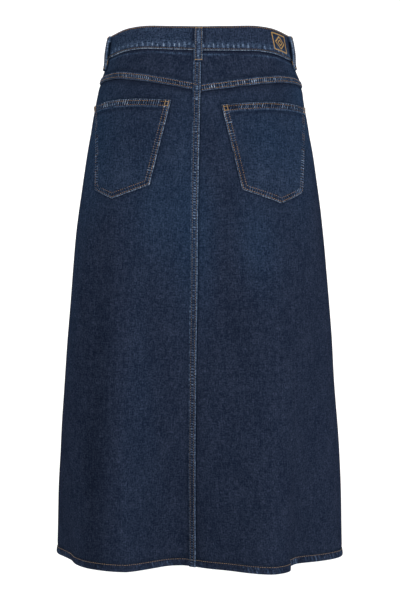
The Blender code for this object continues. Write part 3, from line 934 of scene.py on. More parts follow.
class Thread:
    """Gathers stitches, to become one mesh. Each is a short bar whose ends sink into the cloth."""

    SIDES = 6
    STATIONS = (-0.78, 0.0, 0.78)

    def __init__(self, seed):
        self.random = np.random.default_rng(seed)
        self.points, self.values = [], []

    def bars(self, start, end, normal, radius, arch):
        """Bars between start and end points, lifted by arch at the middle."""
        middle, half = (start + end) / 2, (end - start) / 2
        length = np.linalg.norm(half, axis=-1, keepdims=True)
        side = np.cross(half / length, normal)
        tone = self.random.uniform(0.2, 0.8, len(start))
        rings, places = [], []
        for t in (-1.0, *self.STATIONS, 1.0):
            tip = abs(t) == 1.0
            lift = arch * (1 - 1.9 * t**2)
            centre = middle + half * t + normal * lift
            for k in range(1 if tip else self.SIDES):
                turn = math.tau * k / self.SIDES
                wide = 0.0 if tip else radius * (1.0 if t == 0 else 0.82)
                rings.append(centre + side * wide * math.cos(turn) + normal * wide * 0.8 * math.sin(turn))
                along = t * length[:, 0]
                places.append(np.stack([along, np.full(len(start), radius * turn), tone], axis=-1))
        self.points.append(np.stack(rings, axis=1))
        self.values.append(np.stack(places, axis=1))

    def line(self, angle, drop, out, pitch=STITCH_PITCH, length=STITCH_LENGTH, radius=THREAD):
        """A row of running stitches along a path on the cloth, given by its points."""
        points = on_cloth(angle, drop, out)
        normal = normals(angle, drop)
        reached = lengths(points[None], 1)[0]
        count = int(reached[-1] / pitch)
        if count < 1:
            return
        jitter = self.random.uniform(-0.05, 0.05, count) * pitch
        middle = (np.arange(count) + 0.5) * reached[-1] / count + jitter

        def at(distance, values):
            return np.stack([np.interp(distance, reached, values[:, k]) for k in range(3)], axis=-1)

        facing = at(middle, normal)
        facing /= np.linalg.norm(facing, axis=-1, keepdims=True)
        start, end = at(middle - length / 2, points), at(middle + length / 2, points)
        self.bars(start, end, facing, radius, STITCH_ARCH)

    def satin(self, starts, ends, out, arch=SATIN_ARCH):
        """Close parallel stitches. starts and ends are rows of (angle, drop)."""
        normal = normals((starts[:, 0] + ends[:, 0]) / 2, (starts[:, 1] + ends[:, 1]) / 2)
        start = on_cloth(starts[:, 0], starts[:, 1], out)
        end = on_cloth(ends[:, 0], ends[:, 1], out)
        self.bars(start, end, normal, SATIN_THREAD, arch)

    def bar(self, angle, drop, turn, length, width, out, pitch=0.00042):
        """A bar tack: satin stitches across a short line. turn is in degrees from upright."""
        count = max(2, round(length / pitch))
        lean = math.radians(turn)
        along = (np.linspace(-0.5, 0.5, count) + self.random.uniform(-0.008, 0.008, count)) * length
        half = width / 2 * self.random.uniform(0.9, 1.1, count)
        ends = []
        for side in (-1, 1):
            round_body = along * math.sin(lean) + side * half * math.cos(lean)
            down = along * math.cos(lean) - side * half * math.sin(lean) + side * pitch * 0.4
            ends.append(np.stack([turned_by(angle, drop, round_body), drop + down], axis=-1))
        self.satin(*ends, out)

    def piece(self, name, material):
        points = np.concatenate(self.points)
        values = np.concatenate(self.values)
        count, size = points.shape[:2]
        rings = len(self.STATIONS)
        ring = 1 + np.arange(rings * self.SIDES).reshape(rings, self.SIDES)
        turned = np.roll(ring, -1, axis=1)
        body = quads(ring[:-1], ring[1:], turned[1:], turned[:-1])
        first = np.stack([ring[0], turned[0], np.zeros(self.SIDES, int)], axis=-1)
        last = np.stack([turned[-1], ring[-1], np.full(self.SIDES, size - 1)], axis=-1)
        starts = np.arange(count)[:, None, None] * size
        faces = (np.array(body) + starts).reshape(-1, 4).tolist()
        faces += (np.concatenate([first, last]) + starts).reshape(-1, 3).tolist()
        return new_piece(name, points, faces, material, cloth=values.reshape(-1, 3))


# --------------------------------------------------------------- panels and yokes


def seam_roll(points, first=True, last=True):
    """How far a piece's side edges turn in, where they are sewn to the next piece."""
    weft = lengths(points, 1)
    roll = np.zeros(weft.shape)
    if first:
        roll += hump(weft, 0.0016)
    if last:
        roll += hump(weft[:, -1:] - weft, 0.0016)
    return roll


def panel(name, seams, top, edges, grid, wear_of, material):
    """One of the four big panels. top gives the level that it goes up to, edges say which of its
    sides are sewn to another panel, and wear_of gives its darkening, from kept dye and
    painted shade, and its dip at angles and drops."""
    columns, rows = grid
    shares = even_shares(seams[0](LENGTH), seams[1](LENGTH), LENGTH, columns)
    downs = graded(PANEL_LENGTH, PANEL_LENGTH / rows, 0.0012, 0.016)[:, None]

    def drop_at(angle):
        return mix(top(angle) - TUCK, LENGTH - PANEL_FOOT, downs)

    angle, drop = sewn_grid(seams, shares, len(downs), drop_at)
    flat = face_point(angle, drop)
    roll = seam_roll(flat, *edges)
    wear, dip = wear_of(angle, drop)
    outer = on_cloth(angle, drop, -ROLLED_IN[0] * roll + dip)
    inner = on_cloth(angle, drop, -CLOTH - ROLLED_IN[1] * roll)
    # painted shade where the sewn side edges turn in
    return shell(name, outer, inner, grain(flat), wear - 0.5 * roll, material, coarse=3)


def back_wear(side):
    """Where the back panel is drawn in, and darker with kept dye and painted shade: under the yoke,
    beside the fell and the pocket, and above the hem."""

    def wear_of(angle, drop):
        here = np.stack([round_distance(angle, drop), drop], axis=-1)
        from_pocket = np.clip(-outline_distance(here, pocket_outline(side)), 0, None)
        under = hump(drop - yoke_drop(side, angle), 0.0055)
        beside = hump(from_pocket, 0.0030)
        hem = hump(LENGTH - drop - HEM_STITCH - 0.0015, 0.0035)
        fell = beside_fell(side, angle, drop, 0.0022)
        # painted shade under the yoke, beside the pocket and the fell, and above the hem, with kept dye
        wear = -0.60 * under - 0.45 * beside - 0.22 * hem - 0.55 * fell
        dip = -0.0009 * under - 0.0004 * beside - 0.0005 * hem - 0.0005 * fell
        return wear, dip

    return wear_of


def front_wear(angle, drop):
    """The front panel is drawn in, and darker with kept dye and painted shade, under the waistband
    and above the hem.
    """
    under = hump(drop - band_drop(angle), 0.0050)
    hem = hump(LENGTH - drop - HEM_STITCH - 0.0015, 0.0035)
    # painted shade under the waistband and above the hem, with kept dye
    return -0.5 * under - 0.45 * hem, -0.0006 * under - 0.0005 * hem


def back_panel(side, material):
    name = f"panel_back_{side}"
    edges = (side == "left", side == "right")

    def top(angle):
        return yoke_drop(side, angle)

    return panel(name, back_seams(side), top, edges, PANEL_GRIDS["back"], back_wear(side), material)


def front_panel(side, material):
    name, grid = f"panel_front_{side}", PANEL_GRIDS["front"]
    return panel(name, front_seams(side), band_drop, (True, True), grid, front_wear, material)


def yoke_profile(side, angle, drop):
    """Height of the yoke, how worn it is, and painted shade in its grooves and above the fell: its
    lower edge lies double over the panel, between two rows of stitches that draw it up into puckers."""
    above = yoke_drop(side, angle) - drop
    along = np.radians(angle) * reach_of(angle, drop)
    low, high = YOKE_STITCHES
    seed = {"left": 11, "right": 12}[side]
    rise = FELL_RISE * (1 - smooth((above - YOKE_FELL_WIDTH + 0.0010) / 0.0016))
    fold = smooth(above / 0.0007)
    grooves = hump(above - low, GROOVE) + hump(above - high, GROOVE)
    between = smooth((above - 0.0004) / 0.0022) * (1 - smooth((above - high + 0.0014) / 0.0020))
    ruck = puckers(along + 0.25 * above, 0.0036, seed, 0.23, 0.5)
    upper = puckers(along, 0.0046, seed + 20) * hump(above - YOKE_FELL_WIDTH - 0.0012, 0.0018)
    height = rise * (0.45 + 0.55 * fold) - 0.00022 * grooves
    height += 0.00052 * (ruck - 0.4) * between + 0.00025 * upper
    near_middle = hump(along, 0.075)
    worn = 0.4 + 0.6 * ruck
    wear = (1.85 + 1.00 * near_middle) * (ruck - 0.28) * between  # pale rungs between the rows
    wear += (0.44 + 0.20 * near_middle) * worn * hump(above - 0.0005, 0.0009)  # the folded edge
    wear += 0.75 * worn * hump(above - high - 0.0014, 0.0006)  # the ridge above the upper row
    # painted shade in the grooves of the two rows
    wear += 0.35 * upper - 0.45 * grooves
    wear -= 0.35 * hump(above - YOKE_FELL_WIDTH - 0.0045, 0.0030)  # the shade above the fell
    return height, wear


def yoke(side, material):
    left = side == "left"
    seams = back_seams(side)
    middle_drop = 0.06
    shares = even_shares(seams[0](middle_drop), seams[1](middle_drop), middle_drop, YOKE_COLUMNS)
    double = np.array(YOKE_ROWS[::-1])
    above = np.append(np.full(YOKE_UPPER_ROWS - 1, double[0]), double)[:, None]
    down = np.append(np.linspace(0, 1, YOKE_UPPER_ROWS), np.ones(len(double) - 1))[:, None]

    def drop_at(angle):
        return mix(band_drop(angle) - TUCK, yoke_drop(side, angle) - above, down)

    angle, drop = sewn_grid(seams, shares, len(down), drop_at)
    flat = face_point(angle, drop)
    height, wear = yoke_profile(side, angle, drop)
    below_band = drop - band_drop(angle)
    under_band = hump(below_band, 0.0032)
    second_line = hump(below_band - (0.0047 if left else 0.0058), 0.0011)
    roll = seam_roll(flat, left, not left)
    fell = beside_fell(side, angle, drop, 0.0020)
    height = height - 0.0005 * fell - ROLLED_IN[0] * roll - 0.0004 * under_band
    outer = on_cloth(angle, drop, height)
    lapped = 0.0006 * (yoke_drop(side, angle) - drop < 0.002)
    inner = on_cloth(angle, drop, -CLOTH - ROLLED_IN[1] * roll + lapped)
    # painted shade beside the fell, where the edge turns in, and under the waistband
    wear = wear - 0.60 * fell - 0.5 * roll - (0.40 if left else 0.85) * under_band
    wear += 0.30 * second_line
    cloth = grain(flat) + (0.31, 0.17)
    return shell(f"yoke_cloth_{side}", outer, inner, cloth, wear, material, coarse=3)


# --------------------------------------------------------------- centre back seam and hem


def fell_profile(across, drop):
    """Height of the centre back fell, how worn it is, and painted shade in its grooves. across goes
    from its left side to its folded edge.
    """
    first, second = FELL_STITCHES
    edge = FELL_WIDTH - across
    below_yoke = drop - yoke_drop("left", centre_back(drop))
    over_yoke = smooth((below_yoke + YOKE_FELL_WIDTH) / 0.0020)
    over_yoke *= 1 - smooth((below_yoke + 0.0002) / 0.0012)
    over_hem = smooth((drop - LENGTH + HEM_STITCH + 0.0005) / 0.0020)
    on_yoke = 1 - smooth(below_yoke / 0.0020)
    fold = smooth((edge + 0.0002) / 0.0008)
    grooves = hump(across - first, GROOVE) + hump(across - second, GROOVE)
    between = smooth((across - first) / 0.0018) * (1 - smooth((across - second + 0.0016) / 0.0016))
    ruck = puckers(drop - 0.16 * across, 0.0038, 3, 0.24, 0.75)
    fine = puckers(drop, 0.0036, 4, 0.34, 0.7)
    left = (puckers(drop, 0.0062, 5) + on_yoke) * hump(across - 0.0004, 0.0010)
    height = FELL_RISE * smooth(across / 0.0024) * (0.30 + 0.70 * fold) - 0.00022 * grooves
    height += 0.00042 * (ruck - 0.4) * between + 0.00012 * left
    height += 0.0009 * over_yoke + HEM_RISE * over_hem
    faded = 1 - 0.22 * smooth((drop - 0.30) / 0.25)  # less worn in the lower half
    wear = (1.25 * (ruck - 0.19) + 0.20 * on_yoke) * between * faded
    wear += (0.44 + 0.48 * fine) * faded * hump(edge - 0.0005, 0.0010)
    left_side = 0.45 * left + 0.16 * hump(across - 0.0012, 0.0014)
    wear += left_side * (0.5 + 0.5 * smooth((drop - 0.12) / 0.06))
    knot = hump(drop - 0.1020, 0.0130) * hump(across - 0.0050, 0.0034)  # thick where the yokes meet
    # painted shade in the grooves of the two rows
    wear += 0.25 * over_yoke * between + 1.1 * knot * ruck - 0.34 * grooves
    return height, wear


def centre_back_fell(material):
    across = np.array(FELL_COLUMNS)
    drop = np.linspace(BAND_HEIGHT - TUCK, LENGTH + 0.0002, FELL_ROWS)[:, None]
    angle = turned_by(centre_back(drop), drop, across - FELL_WIDTH)
    drop = np.broadcast_to(drop, angle.shape)
    height, wear = fell_profile(np.broadcast_to(across, angle.shape), drop)
    flat = face_point(angle, drop)
    outer = on_cloth(angle, drop, height)
    outer[:, 0] = on_cloth(angle[:, 0], drop[:, 0], -GAP)
    inner = on_cloth(angle, drop, -0.0006)
    cloth = grain(flat) + (0.07, 0.53)
    return shell("fell_centre_back", outer, inner, cloth, wear, material, coarse=4, reverse=0.0)


HEM_PROFILE = [
    # height above the hem, out from the cloth's face, share of the puckers
    (0.0115, -0.00030, 0.0),
    (0.0107, 0.00002, 0.2),
    (0.0103, 0.00010, 0.3),
    (0.0099, 0.00008, 0.2),
    (0.0094, 0.00030, 0.5),
    (0.0083, 0.00065, 1.0),
    (0.0066, 0.00085, 1.0),
    (0.0050, 0.00095, 1.0),
    (0.0034, 0.00095, 1.0),
    (0.0019, 0.00085, 0.9),
    (0.0008, 0.00055, 0.7),
    (0.0001, 0.00005, 0.5),
    (0.0000, -0.00060, 0.4),
    (0.0002, -0.00130, 0.4),
    (0.0012, -0.00195, 0.5),
    (0.0040, -0.00222, 0.6),
    (0.0075, -0.00222, 0.5),
    (0.0104, -0.00220, 0.2),
    (0.0108, -0.00180, 0.0),
    (0.0108, -0.00110, 0.0),
]


def hem_shape(above, out, share, along, angle, seed):
    """Where the rolled hem's points move to, how worn they are, and painted shade along the stitch
    row: its puckers lean, like the turns of a rope, and are worn most beside the centre back."""
    ruck = puckers(along + 0.45 * above, 0.0056, seed, 0.33)
    fine = puckers(along - 0.3 * above, 0.0037, seed + 9, 0.27, 0.7)
    outside = out > -0.0007
    moved = out + np.where(outside, 1.0, -0.5) * 0.00042 * (ruck - 0.35) * share
    lively = 0.38 + 0.40 * smooth((angle + 2) / 30)
    lively = lively + 0.75 * hump(angle + 18, 6.0) + 0.30 * hump(angle - 66, 16.0)
    wear = (0.95 * (ruck - 0.26) + 0.45 * (fine - 0.4)) * share * lively
    wear += 0.30 * hump(above - 0.0003, 0.0010) * (0.3 + ruck)
    # painted shade in the groove of the stitch row
    wear -= 0.30 * hump(above - HEM_STITCH - 0.0010, 0.0012)
    return moved, np.where(outside, wear, 0.0)


def hem(name, seams, seed, material):
    start, end = (float(seam(np.array(LENGTH))) for seam in seams)
    width = round_distance(np.array(end), LENGTH) - round_distance(np.array(start), LENGTH)
    stations = round(abs(float(width)) / HEM_STEP)
    angles = mix(start, end, even_shares(start, end, LENGTH, stations))[:, None]
    above, out, share = np.array(HEM_PROFILE).T
    drop = LENGTH - np.broadcast_to(above, (len(angles), len(above)))
    angle = np.broadcast_to(angles, drop.shape)
    along = lengths(face_point(angles, LENGTH), 0)
    moved, wear = hem_shape(above, out, share, along, angle, seed)
    ends = hump(along, 0.0016) + hump(along[-1] - along, 0.0016)
    moved = moved - np.where(out > -0.0007, 0.0006, -0.0003) * ends
    rings = on_cloth(angle, drop, moved)
    round_ring = np.cumsum(np.append(0, np.hypot(np.diff(above), np.diff(out))))
    cloth = np.stack(np.broadcast_arrays(along, round_ring), axis=-1) + (0.4, 0.9)
    # painted shade at both ends, where the hem meets the seams
    wear = wear - 0.4 * ends
    return tube(name, rings, cloth, wear, material)


# --------------------------------------------------------------- pockets


def pocket_place(side, share, down):
    """Signed distance round the cloth and drop at shares across and down a pocket."""
    corner = {name: np.array(place) for name, place in POCKETS[side].items()}
    first, middle, last = (corner[name][0] for name in ("inner_foot", "point", "outer_foot"))
    turn = (middle - first) / (last - first)
    mouth = bowed(corner["inner_top"], corner["outer_top"], share, (0.0, MOUTH_BOW))
    drawn_in = SIDE_BOW[side] * share * np.sin(math.pi * down)
    share = share[..., None]
    before = mix(corner["inner_foot"], corner["point"], share / turn)
    after = mix(corner["point"], corner["outer_foot"], (share - turn) / (1 - turn))
    place = mix(mouth, np.where(share <= turn, before, after), down[..., None])
    return (place[..., 0] - drawn_in) * SIGNS[side], place[..., 1]


def pocket_profile(side, distance, drop):
    """Height above the pocket's base, how worn it is, and painted shade in the grooves and below the
    hem, at places on a pocket: its mouth is hemmed, and its other edges are sewn down with two rows
    of stitches."""
    outline = pocket_outline(side)
    here = np.stack([distance, drop], axis=-1)
    edge = outline_distance(here, outline)
    mouth = np.full(edge.shape, np.inf)  # how far the mouth is
    sewn = np.full(edge.shape, np.inf)  # how far the sewn edges are
    run = np.zeros(edge.shape)  # how far along the outline the nearest place on them is
    reached = 0.0
    for k, (a, b) in enumerate(zip(outline, np.roll(outline, -1, axis=0))):
        away, along = to_edge(here, a, b)
        if k < MOUTH_CORNERS - 1:
            mouth = np.minimum(mouth, away)
        else:
            run = np.where(away < sewn, reached + along, run)
            sewn = np.minimum(sewn, away)
        reached += np.linalg.norm(b - a)
    seed = {"left": 41, "right": 47}[side]
    first, second = POCKET_STITCHES
    top, low = MOUTH_STITCHES
    fold = smooth((edge + 0.0001) / 0.0009)
    hem_rise = 0.0009 * (1 - smooth((mouth - POCKET_HEM + 0.0004) / 0.0014))
    below_hem = smooth((mouth - low) / 0.0015)
    side_grooves = (hump(sewn - first, GROOVE) + hump(sewn - second, GROOVE)) * (0.3 + 0.7 * below_hem)
    mouth_grooves = hump(mouth - top, GROOVE) + hump(mouth - low, GROOVE)
    ruck = puckers(run, 0.0036, seed, 0.24, 0.6)
    mouth_ruck = puckers(distance + 0.3 * mouth, 0.0035, seed + 1, 0.23, 0.5)
    in_border = smooth(sewn / 0.0016) * (1 - smooth((sewn - second - 0.0002) / 0.0022)) * below_hem
    in_hem = smooth(mouth / 0.0016) * (1 - smooth((mouth - low + 0.0010) / 0.0018))
    doubled = 0.00035 * (1 - smooth((sewn - second) / 0.0030))
    height = CLOTH * (0.15 + 0.85 * fold) + hem_rise + doubled
    height -= 0.00020 * (side_grooves + mouth_grooves)
    height += 0.00040 * (ruck - 0.4) * in_border + 0.00042 * (mouth_ruck - 0.4) * in_hem
    wear = 1.60 * (ruck - 0.36) * in_border + MOUTH_RUNGS[side] * (mouth_ruck - 0.36) * in_hem
    wear += (0.65 + 0.55 * ruck) * hump(sewn - 0.0002, 0.0007)
    wear += (0.66 + 0.50 * mouth_ruck) * hump(mouth - 0.0002, 0.0007)
    # painted shade in the grooves of the mouth's rows
    wear -= 0.45 * mouth_grooves * smooth((sewn - 0.0015) / 0.0020)
    wear += (0.20 + 0.40 * mouth_ruck) * hump(mouth - low - 0.0019, 0.0011) * smooth(sewn / 0.0030)
    # painted shadow below the mouth's hem
    wear -= 0.45 * hump(mouth - POCKET_HEM - 0.0020, 0.0022) * smooth((sewn - 0.004) / 0.006)
    return height, wear


def pocket_gape(side, distance, drop):
    """How far a pocket's base stands off the panel, most of all at its mouth."""
    top = pocket_outline(side)[:, 1].min()
    corner_distance, corner_drop = POCKETS[side]["outer_top"]
    corner = hump(np.hypot(np.abs(distance) - corner_distance, drop - corner_drop), 0.011)
    open_mouth = MOUTH_GAPE * np.clip(1 - (drop - top) / 0.05, 0, 1) ** 2
    return GAP + open_mouth + CORNER_GAPE[side] * corner


def pocket_face(side, distance, drop):
    """How far out a pocket's face is."""
    return pocket_gape(side, distance, drop) + pocket_profile(side, distance, drop)[0]


def pocket(side, material):
    share = graded(POCKET_SIZE[0], 0.0008, *FINE_EDGE)
    down = graded(POCKET_SIZE[1], 0.0009, *FINE_EDGE)
    share, down = np.meshgrid(share, down)
    distance, drop = pocket_place(side, share, down)
    if side == "left":
        distance, drop = distance[:, ::-1], drop[:, ::-1]
    angle = angle_at(distance, drop)
    height, wear = pocket_profile(side, distance, drop)
    base = pocket_gape(side, distance, drop)
    bow = 0.0008 * np.sin(math.pi * share) * np.sin(math.pi * down)
    outer = on_cloth(angle, drop, base + height + bow)
    inner = on_cloth(angle, drop, base - 0.0002 + bow * 0.8)
    cloth = np.stack([distance, drop], axis=-1) + (0.6, 0.2)
    wear = wear + 0.03 * smooth((down - 0.3) / 0.6)
    return shell(f"pocket_cloth_{side}", outer, inner, cloth, wear, material, coarse=6)


# --------------------------------------------------------------- waistband, loops, fly and button


def band_angles():
    """Where the waistband starts and ends, and where its underlap starts to step inwards."""
    waist = float(reach_of(CENTRE_FRONT, BUTTON_DROP))
    overlap, underlap, ramp = (math.degrees(d / waist) for d in (OVERLAP, UNDERLAP, UNDERLAP_RAMP))
    return -CENTRE_FRONT - overlap, CENTRE_FRONT + underlap, CENTRE_FRONT - overlap - ramp, ramp


FACE_SHARES = (0.880, 0.835, 0.790, 0.740, 0.690, 0.630, 0.560, 0.480, 0.400, 0.320, 0.240, 0.170, 0.115)
BAND_PROFILE = [
    # share of the height, drop added, out
    (1.0, 0.0000, 0.00010),
    (1.0, -0.0001, 0.00090),
    (1.0, -0.0005, 0.00135),
    (1.0, -0.0011, 0.00158),
    (1.0, -0.0017, 0.00150),
    (1.0, -0.0024, BAND_FACE),
    *((share, 0.0, BAND_FACE) for share in FACE_SHARES),
    (0.0, 0.0025, BAND_FACE),
    (0.0, 0.0017, 0.00148),
    (0.0, 0.0011, 0.00155),
    (0.0, 0.0005, 0.00135),
    (0.0, 0.0001, 0.00085),
    (0.0, 0.0000, 0.00010),
    (0.0, 0.0002, -0.00070),
    (0.0, 0.0009, -0.00130),
    (0.0, 0.0022, BAND_INSIDE),
    *((share, 0.0, BAND_INSIDE) for share in (0.25, 0.50, 0.75)),
    (1.0, -0.0022, BAND_INSIDE),
    (1.0, -0.0010, -0.00130),
    (1.0, -0.0002, -0.00080),
]


def band_profile(angle, drop, out):
    """Height added to the waistband's face, how worn it is, and painted shade in its grooves and
    beside the belt loops.
    """
    up = band_drop(angle) - drop
    along = np.radians(angle) * WAIST_REACH
    low, high = BAND_STITCHES
    ruck = puckers(along + 0.10 * up, 0.0086, 21, 0.18, 0.45)
    fine = puckers(along, 0.0048, 22)
    marks = hump(up - 0.0062, 0.0036)
    back = smooth((75 - np.abs(angle)) / 15)
    grooves = hump(up - low, GROOVE) + hump(drop - high, GROOVE)
    height = 0.00040 * (ruck - 0.3) * marks - 0.00018 * grooves
    height += 0.00018 * fine * hump(drop - 0.0045, 0.0025)
    wear = 0.90 * (ruck - 0.05) * marks * (0.45 + 0.55 * back) + 0.12 * hump(up - 0.0062, 0.0050)
    # painted shadow beside each belt loop
    wear -= 0.45 * sum(hump(off_angle(angle, loop[0]), 3.3) for loop in LOOPS.values())
    edge_wear = (0.80 + 0.50 * fine) * (1 - 0.5 * smooth((angle - 48) / 18))
    # painted shade in the grooves of the two rows, here and on the next line
    wear += edge_wear * hump(up - 0.0001, 0.0005) - 0.75 * hump(up - low, 0.0007)
    wear += 0.14 * fine * hump(drop - 0.0042, 0.0024) - 0.20 * hump(drop - high, 0.0008)
    wear += 0.25 * hump(drop - 0.0006, 0.0008)
    wear += 0.040 + 0.050 * smooth((20 - angle) / 40)
    outside = out > 0.0
    return np.where(outside, height, 0.0), np.where(outside, wear, 0.0)


def waistband(material):
    first, last, under_start, ramp = band_angles()
    angles = np.linspace(first, last, BAND_STATIONS)[:, None]
    down, added, out = np.array(BAND_PROFILE).T
    drop = band_drop(angles) * down + added
    angle = np.broadcast_to(angles, drop.shape)
    inwards = (BAND_FACE - BAND_INSIDE + GAP) * smooth((angle - under_start) / (ramp - 1.0))
    height, wear = band_profile(angle, drop, np.broadcast_to(out, drop.shape))
    ends = np.minimum(angle - first, last - angle) / 0.45
    thick = 0.35 + 0.65 * smooth(ends + 0.2)
    rings = on_cloth(angle, drop, (out - 0.0001) * thick + 0.0001 + height - inwards)
    along = lengths(face_point(angles, BAND_HEIGHT), 0)
    steps = np.hypot(np.diff(down * BAND_HEIGHT + added), np.diff(out))
    round_ring = -np.cumsum(np.append(0, steps))
    cloth = np.stack(np.broadcast_arrays(along, round_ring), axis=-1) + (0.0, 1.3)
    wear = wear + 0.5 * hump(ends * 0.001, 0.0008)
    return tube("waistband_cloth", rings[:, ::-1], cloth[:, ::-1], wear[:, ::-1], material)


def loop_path(foot_out, end_drop, slack):
    """The drop and out of a belt loop, smoothly along its length."""
    path = np.array(LOOP_PATH + [(end_drop - LOOP_FOOT, foot_out), (end_drop, foot_out)])
    fine = np.linspace(0, 1, 401)
    known = np.linspace(0, 1, 201)
    drops = mix(path[0, 0], path[-1, 0], known)
    outs = np.interp(drops, path[:, 0], path[:, 1]) + slack * hump(drops - 0.026, 0.015)
    outs = outs + 0.85 * slack * hump(drops - 0.002, 0.012)
    window = np.hanning(25)
    padded = np.pad(outs, 12, mode="edge")
    outs = np.convolve(padded, window / window.sum(), mode="valid")
    return mix(path[0, 0], path[-1, 0], fine), np.interp(fine, known, outs)


def loop_profile(across, drop, end_drop):
    """Height of a belt loop, how worn it is, and painted shade in its grooves. Its folded edges meet
    under its raised middle.
    """
    away = np.abs(across) * LOOP_WIDTH / 2
    edge = LOOP_WIDTH / 2 - away
    groove = hump(away - LOOP_STITCH, GROOVE)
    middle = hump(away, 0.0028)
    ruck = puckers(drop + 0.2 * across * LOOP_WIDTH, 0.0040, 31)
    tacks = hump(drop - 0.0030, 0.0014) + hump(drop - end_drop + 0.0024, 0.0014)
    fold = smooth((edge + 0.0001) / 0.0009)
    height = (0.00030 + 0.00018 * (ruck - 0.4)) * middle
    height -= 0.0009 * (1 - fold) + 0.00020 * groove + 0.0003 * tacks
    wear = (0.25 + 0.65 * ruck) * middle + (0.65 + 0.4 * ruck) * hump(edge - 0.0003, 0.0007)
    # painted shade in the grooves
    return height, wear - 0.5 * groove


def belt_loop(name, material, rows, tacks):
    centre, foot_out, end_drop, slack = LOOPS[name]
    across = np.concatenate([LOOP_COLUMNS, [0.0], -LOOP_COLUMNS[::-1]])
    fine_drop, fine_out = loop_path(foot_out, end_drop, slack)
    drop = np.linspace(fine_drop[0], fine_drop[-1], LOOP_ROWS)
    path_out = np.interp(drop, fine_drop, fine_out)[:, None]
    drop = np.broadcast_to(drop[:, None], (len(drop), len(across)))
    angle = turned_by(centre, drop, across * LOOP_WIDTH / 2)
    height, wear = loop_profile(across, drop, end_drop)
    ends = np.minimum(drop - fine_drop[0], fine_drop[-1] - drop)
    height = height - 0.0010 * (1 - smooth((ends + 0.0002) / 0.0009))
    outer = on_cloth(angle, drop, path_out + LOOP_THICKNESS + height)
    turned_under = smooth((LOOP_END - ends) / 0.0020)
    inner = on_cloth(angle, drop, mix(np.maximum(path_out - 0.0010, GAP), GAP, turned_under))
    cloth = grain(outer) + (0.2, 0.7)
    sew_loop(name, fine_drop, fine_out + LOOP_THICKNESS, rows, tacks)
    return shell(f"{name}_cloth", outer, inner, cloth, wear, material, coarse=3, reverse=0.0)


def sew_loop(name, drop, out, rows, tacks):
    """Two rows of stitches down a belt loop, and the tacks at its ends and its side."""
    centre, _, end_drop, _ = LOOPS[name]
    seen = slice(12, -12)
    for away in (-LOOP_STITCH, LOOP_STITCH):
        angle = turned_by(centre, drop[seen], away)
        rows.line(angle, drop[seen], out[seen] - 0.0001, pitch=0.0030, length=0.0021)
    for drop_at in (drop[0] + LOOP_TACKS[0], end_drop - LOOP_TACKS[1]):
        out_at = float(np.interp(drop_at, drop, out)) - 0.0002
        tacks.bar(centre, drop_at, 90.0, LOOP_WIDTH - 0.0006, 0.0018, out_at)
    if name in LOOP_SIDE_TACKS:
        drop_at = LOOP_SIDE_TACKS[name]
        towards_back = -math.copysign(LOOP_WIDTH / 2 + 0.0004, centre)
        side = float(turned_by(centre, np.array(drop_at), towards_back))
        tacks.bar(side, drop_at, 0.0, 0.0055, 0.0016, 0.0026)


def fly_point(share, down):
    """Angle and drop at shares across and down the fly, whose foot curves up in a J."""
    top = band_drop(turned_by(CENTRE_FRONT, BAND_HEIGHT, FLY_WIDTH * share)) - 0.0008
    lift = FLY_WIDTH * (1 - np.sqrt(np.clip(1 - share**2, 0, 1)))
    drop = top + (FLY_LENGTH + 0.0011 - lift) * down
    angle = turned_by(CENTRE_FRONT, drop, mix(-FLY_LAP, FLY_WIDTH - FLY_LAP, share))
    return angle, drop


def fly(material, thread):
    across = graded(FLY_WIDTH, 0.0014, *FINE_EDGE) ** 0.9
    share, down = np.meshgrid(across, graded(FLY_LENGTH, 0.0016, *FINE_EDGE))
    angle, drop = fly_point(share, down)
    edge = np.minimum(np.minimum(share, 1 - share) * FLY_WIDTH, (1 - down) * FLY_LENGTH)
    fold = smooth((edge + 0.0001) / 0.0009)
    ruck = puckers(drop, 0.0054, 61)
    height = CLOTH * (0.2 + 0.8 * fold) + 0.0002 * (ruck - 0.4) * hump(edge - 0.005, 0.004)
    wear = (0.40 + 0.45 * ruck) * hump(edge - 0.0004, 0.0008) + 0.25 * ruck * hump(edge - 0.005, 0.003)
    # painted shade under the waistband
    wear -= 0.5 * hump(drop - band_drop(angle), 0.0045)
    outer = on_cloth(angle, drop, GAP + height)
    inner = on_cloth(angle, drop, 0.0001)
    cloth = grain(face_point(angle, drop)) + (0.8, 0.4)
    sew_fly(thread, GAP + CLOTH)
    return shell("fly_cloth", outer, inner, cloth, wear, material, coarse=4)


def sew_fly(thread, face):
    """Two rows of stitches down the fly and round its foot, and its two tacks."""
    for inset in FLY_STITCHES:
        reach = 1 - inset / FLY_WIDTH
        turn = np.linspace(0, 1, 60)
        foot = np.sqrt(np.clip(1 - (1 - turn) ** 2, 0, 1))
        straight = np.stack([np.full(80, reach), np.linspace(0.012, 0.70, 80)], axis=-1)
        bend = np.stack([reach * (1 - turn * 0.86), mix(0.70, 1 - inset / FLY_LENGTH, foot)], axis=-1)
        share, down = np.concatenate([straight, bend]).T
        thread.line(*fly_point(share, down), face - 0.0001)
    for share, down in ((0.10, 0.955), (0.93, 0.66)):
        angle, drop = fly_point(np.array(share), np.array(down))
        thread.bar(float(angle), float(drop), 20.0, 0.009, 0.0020, face)


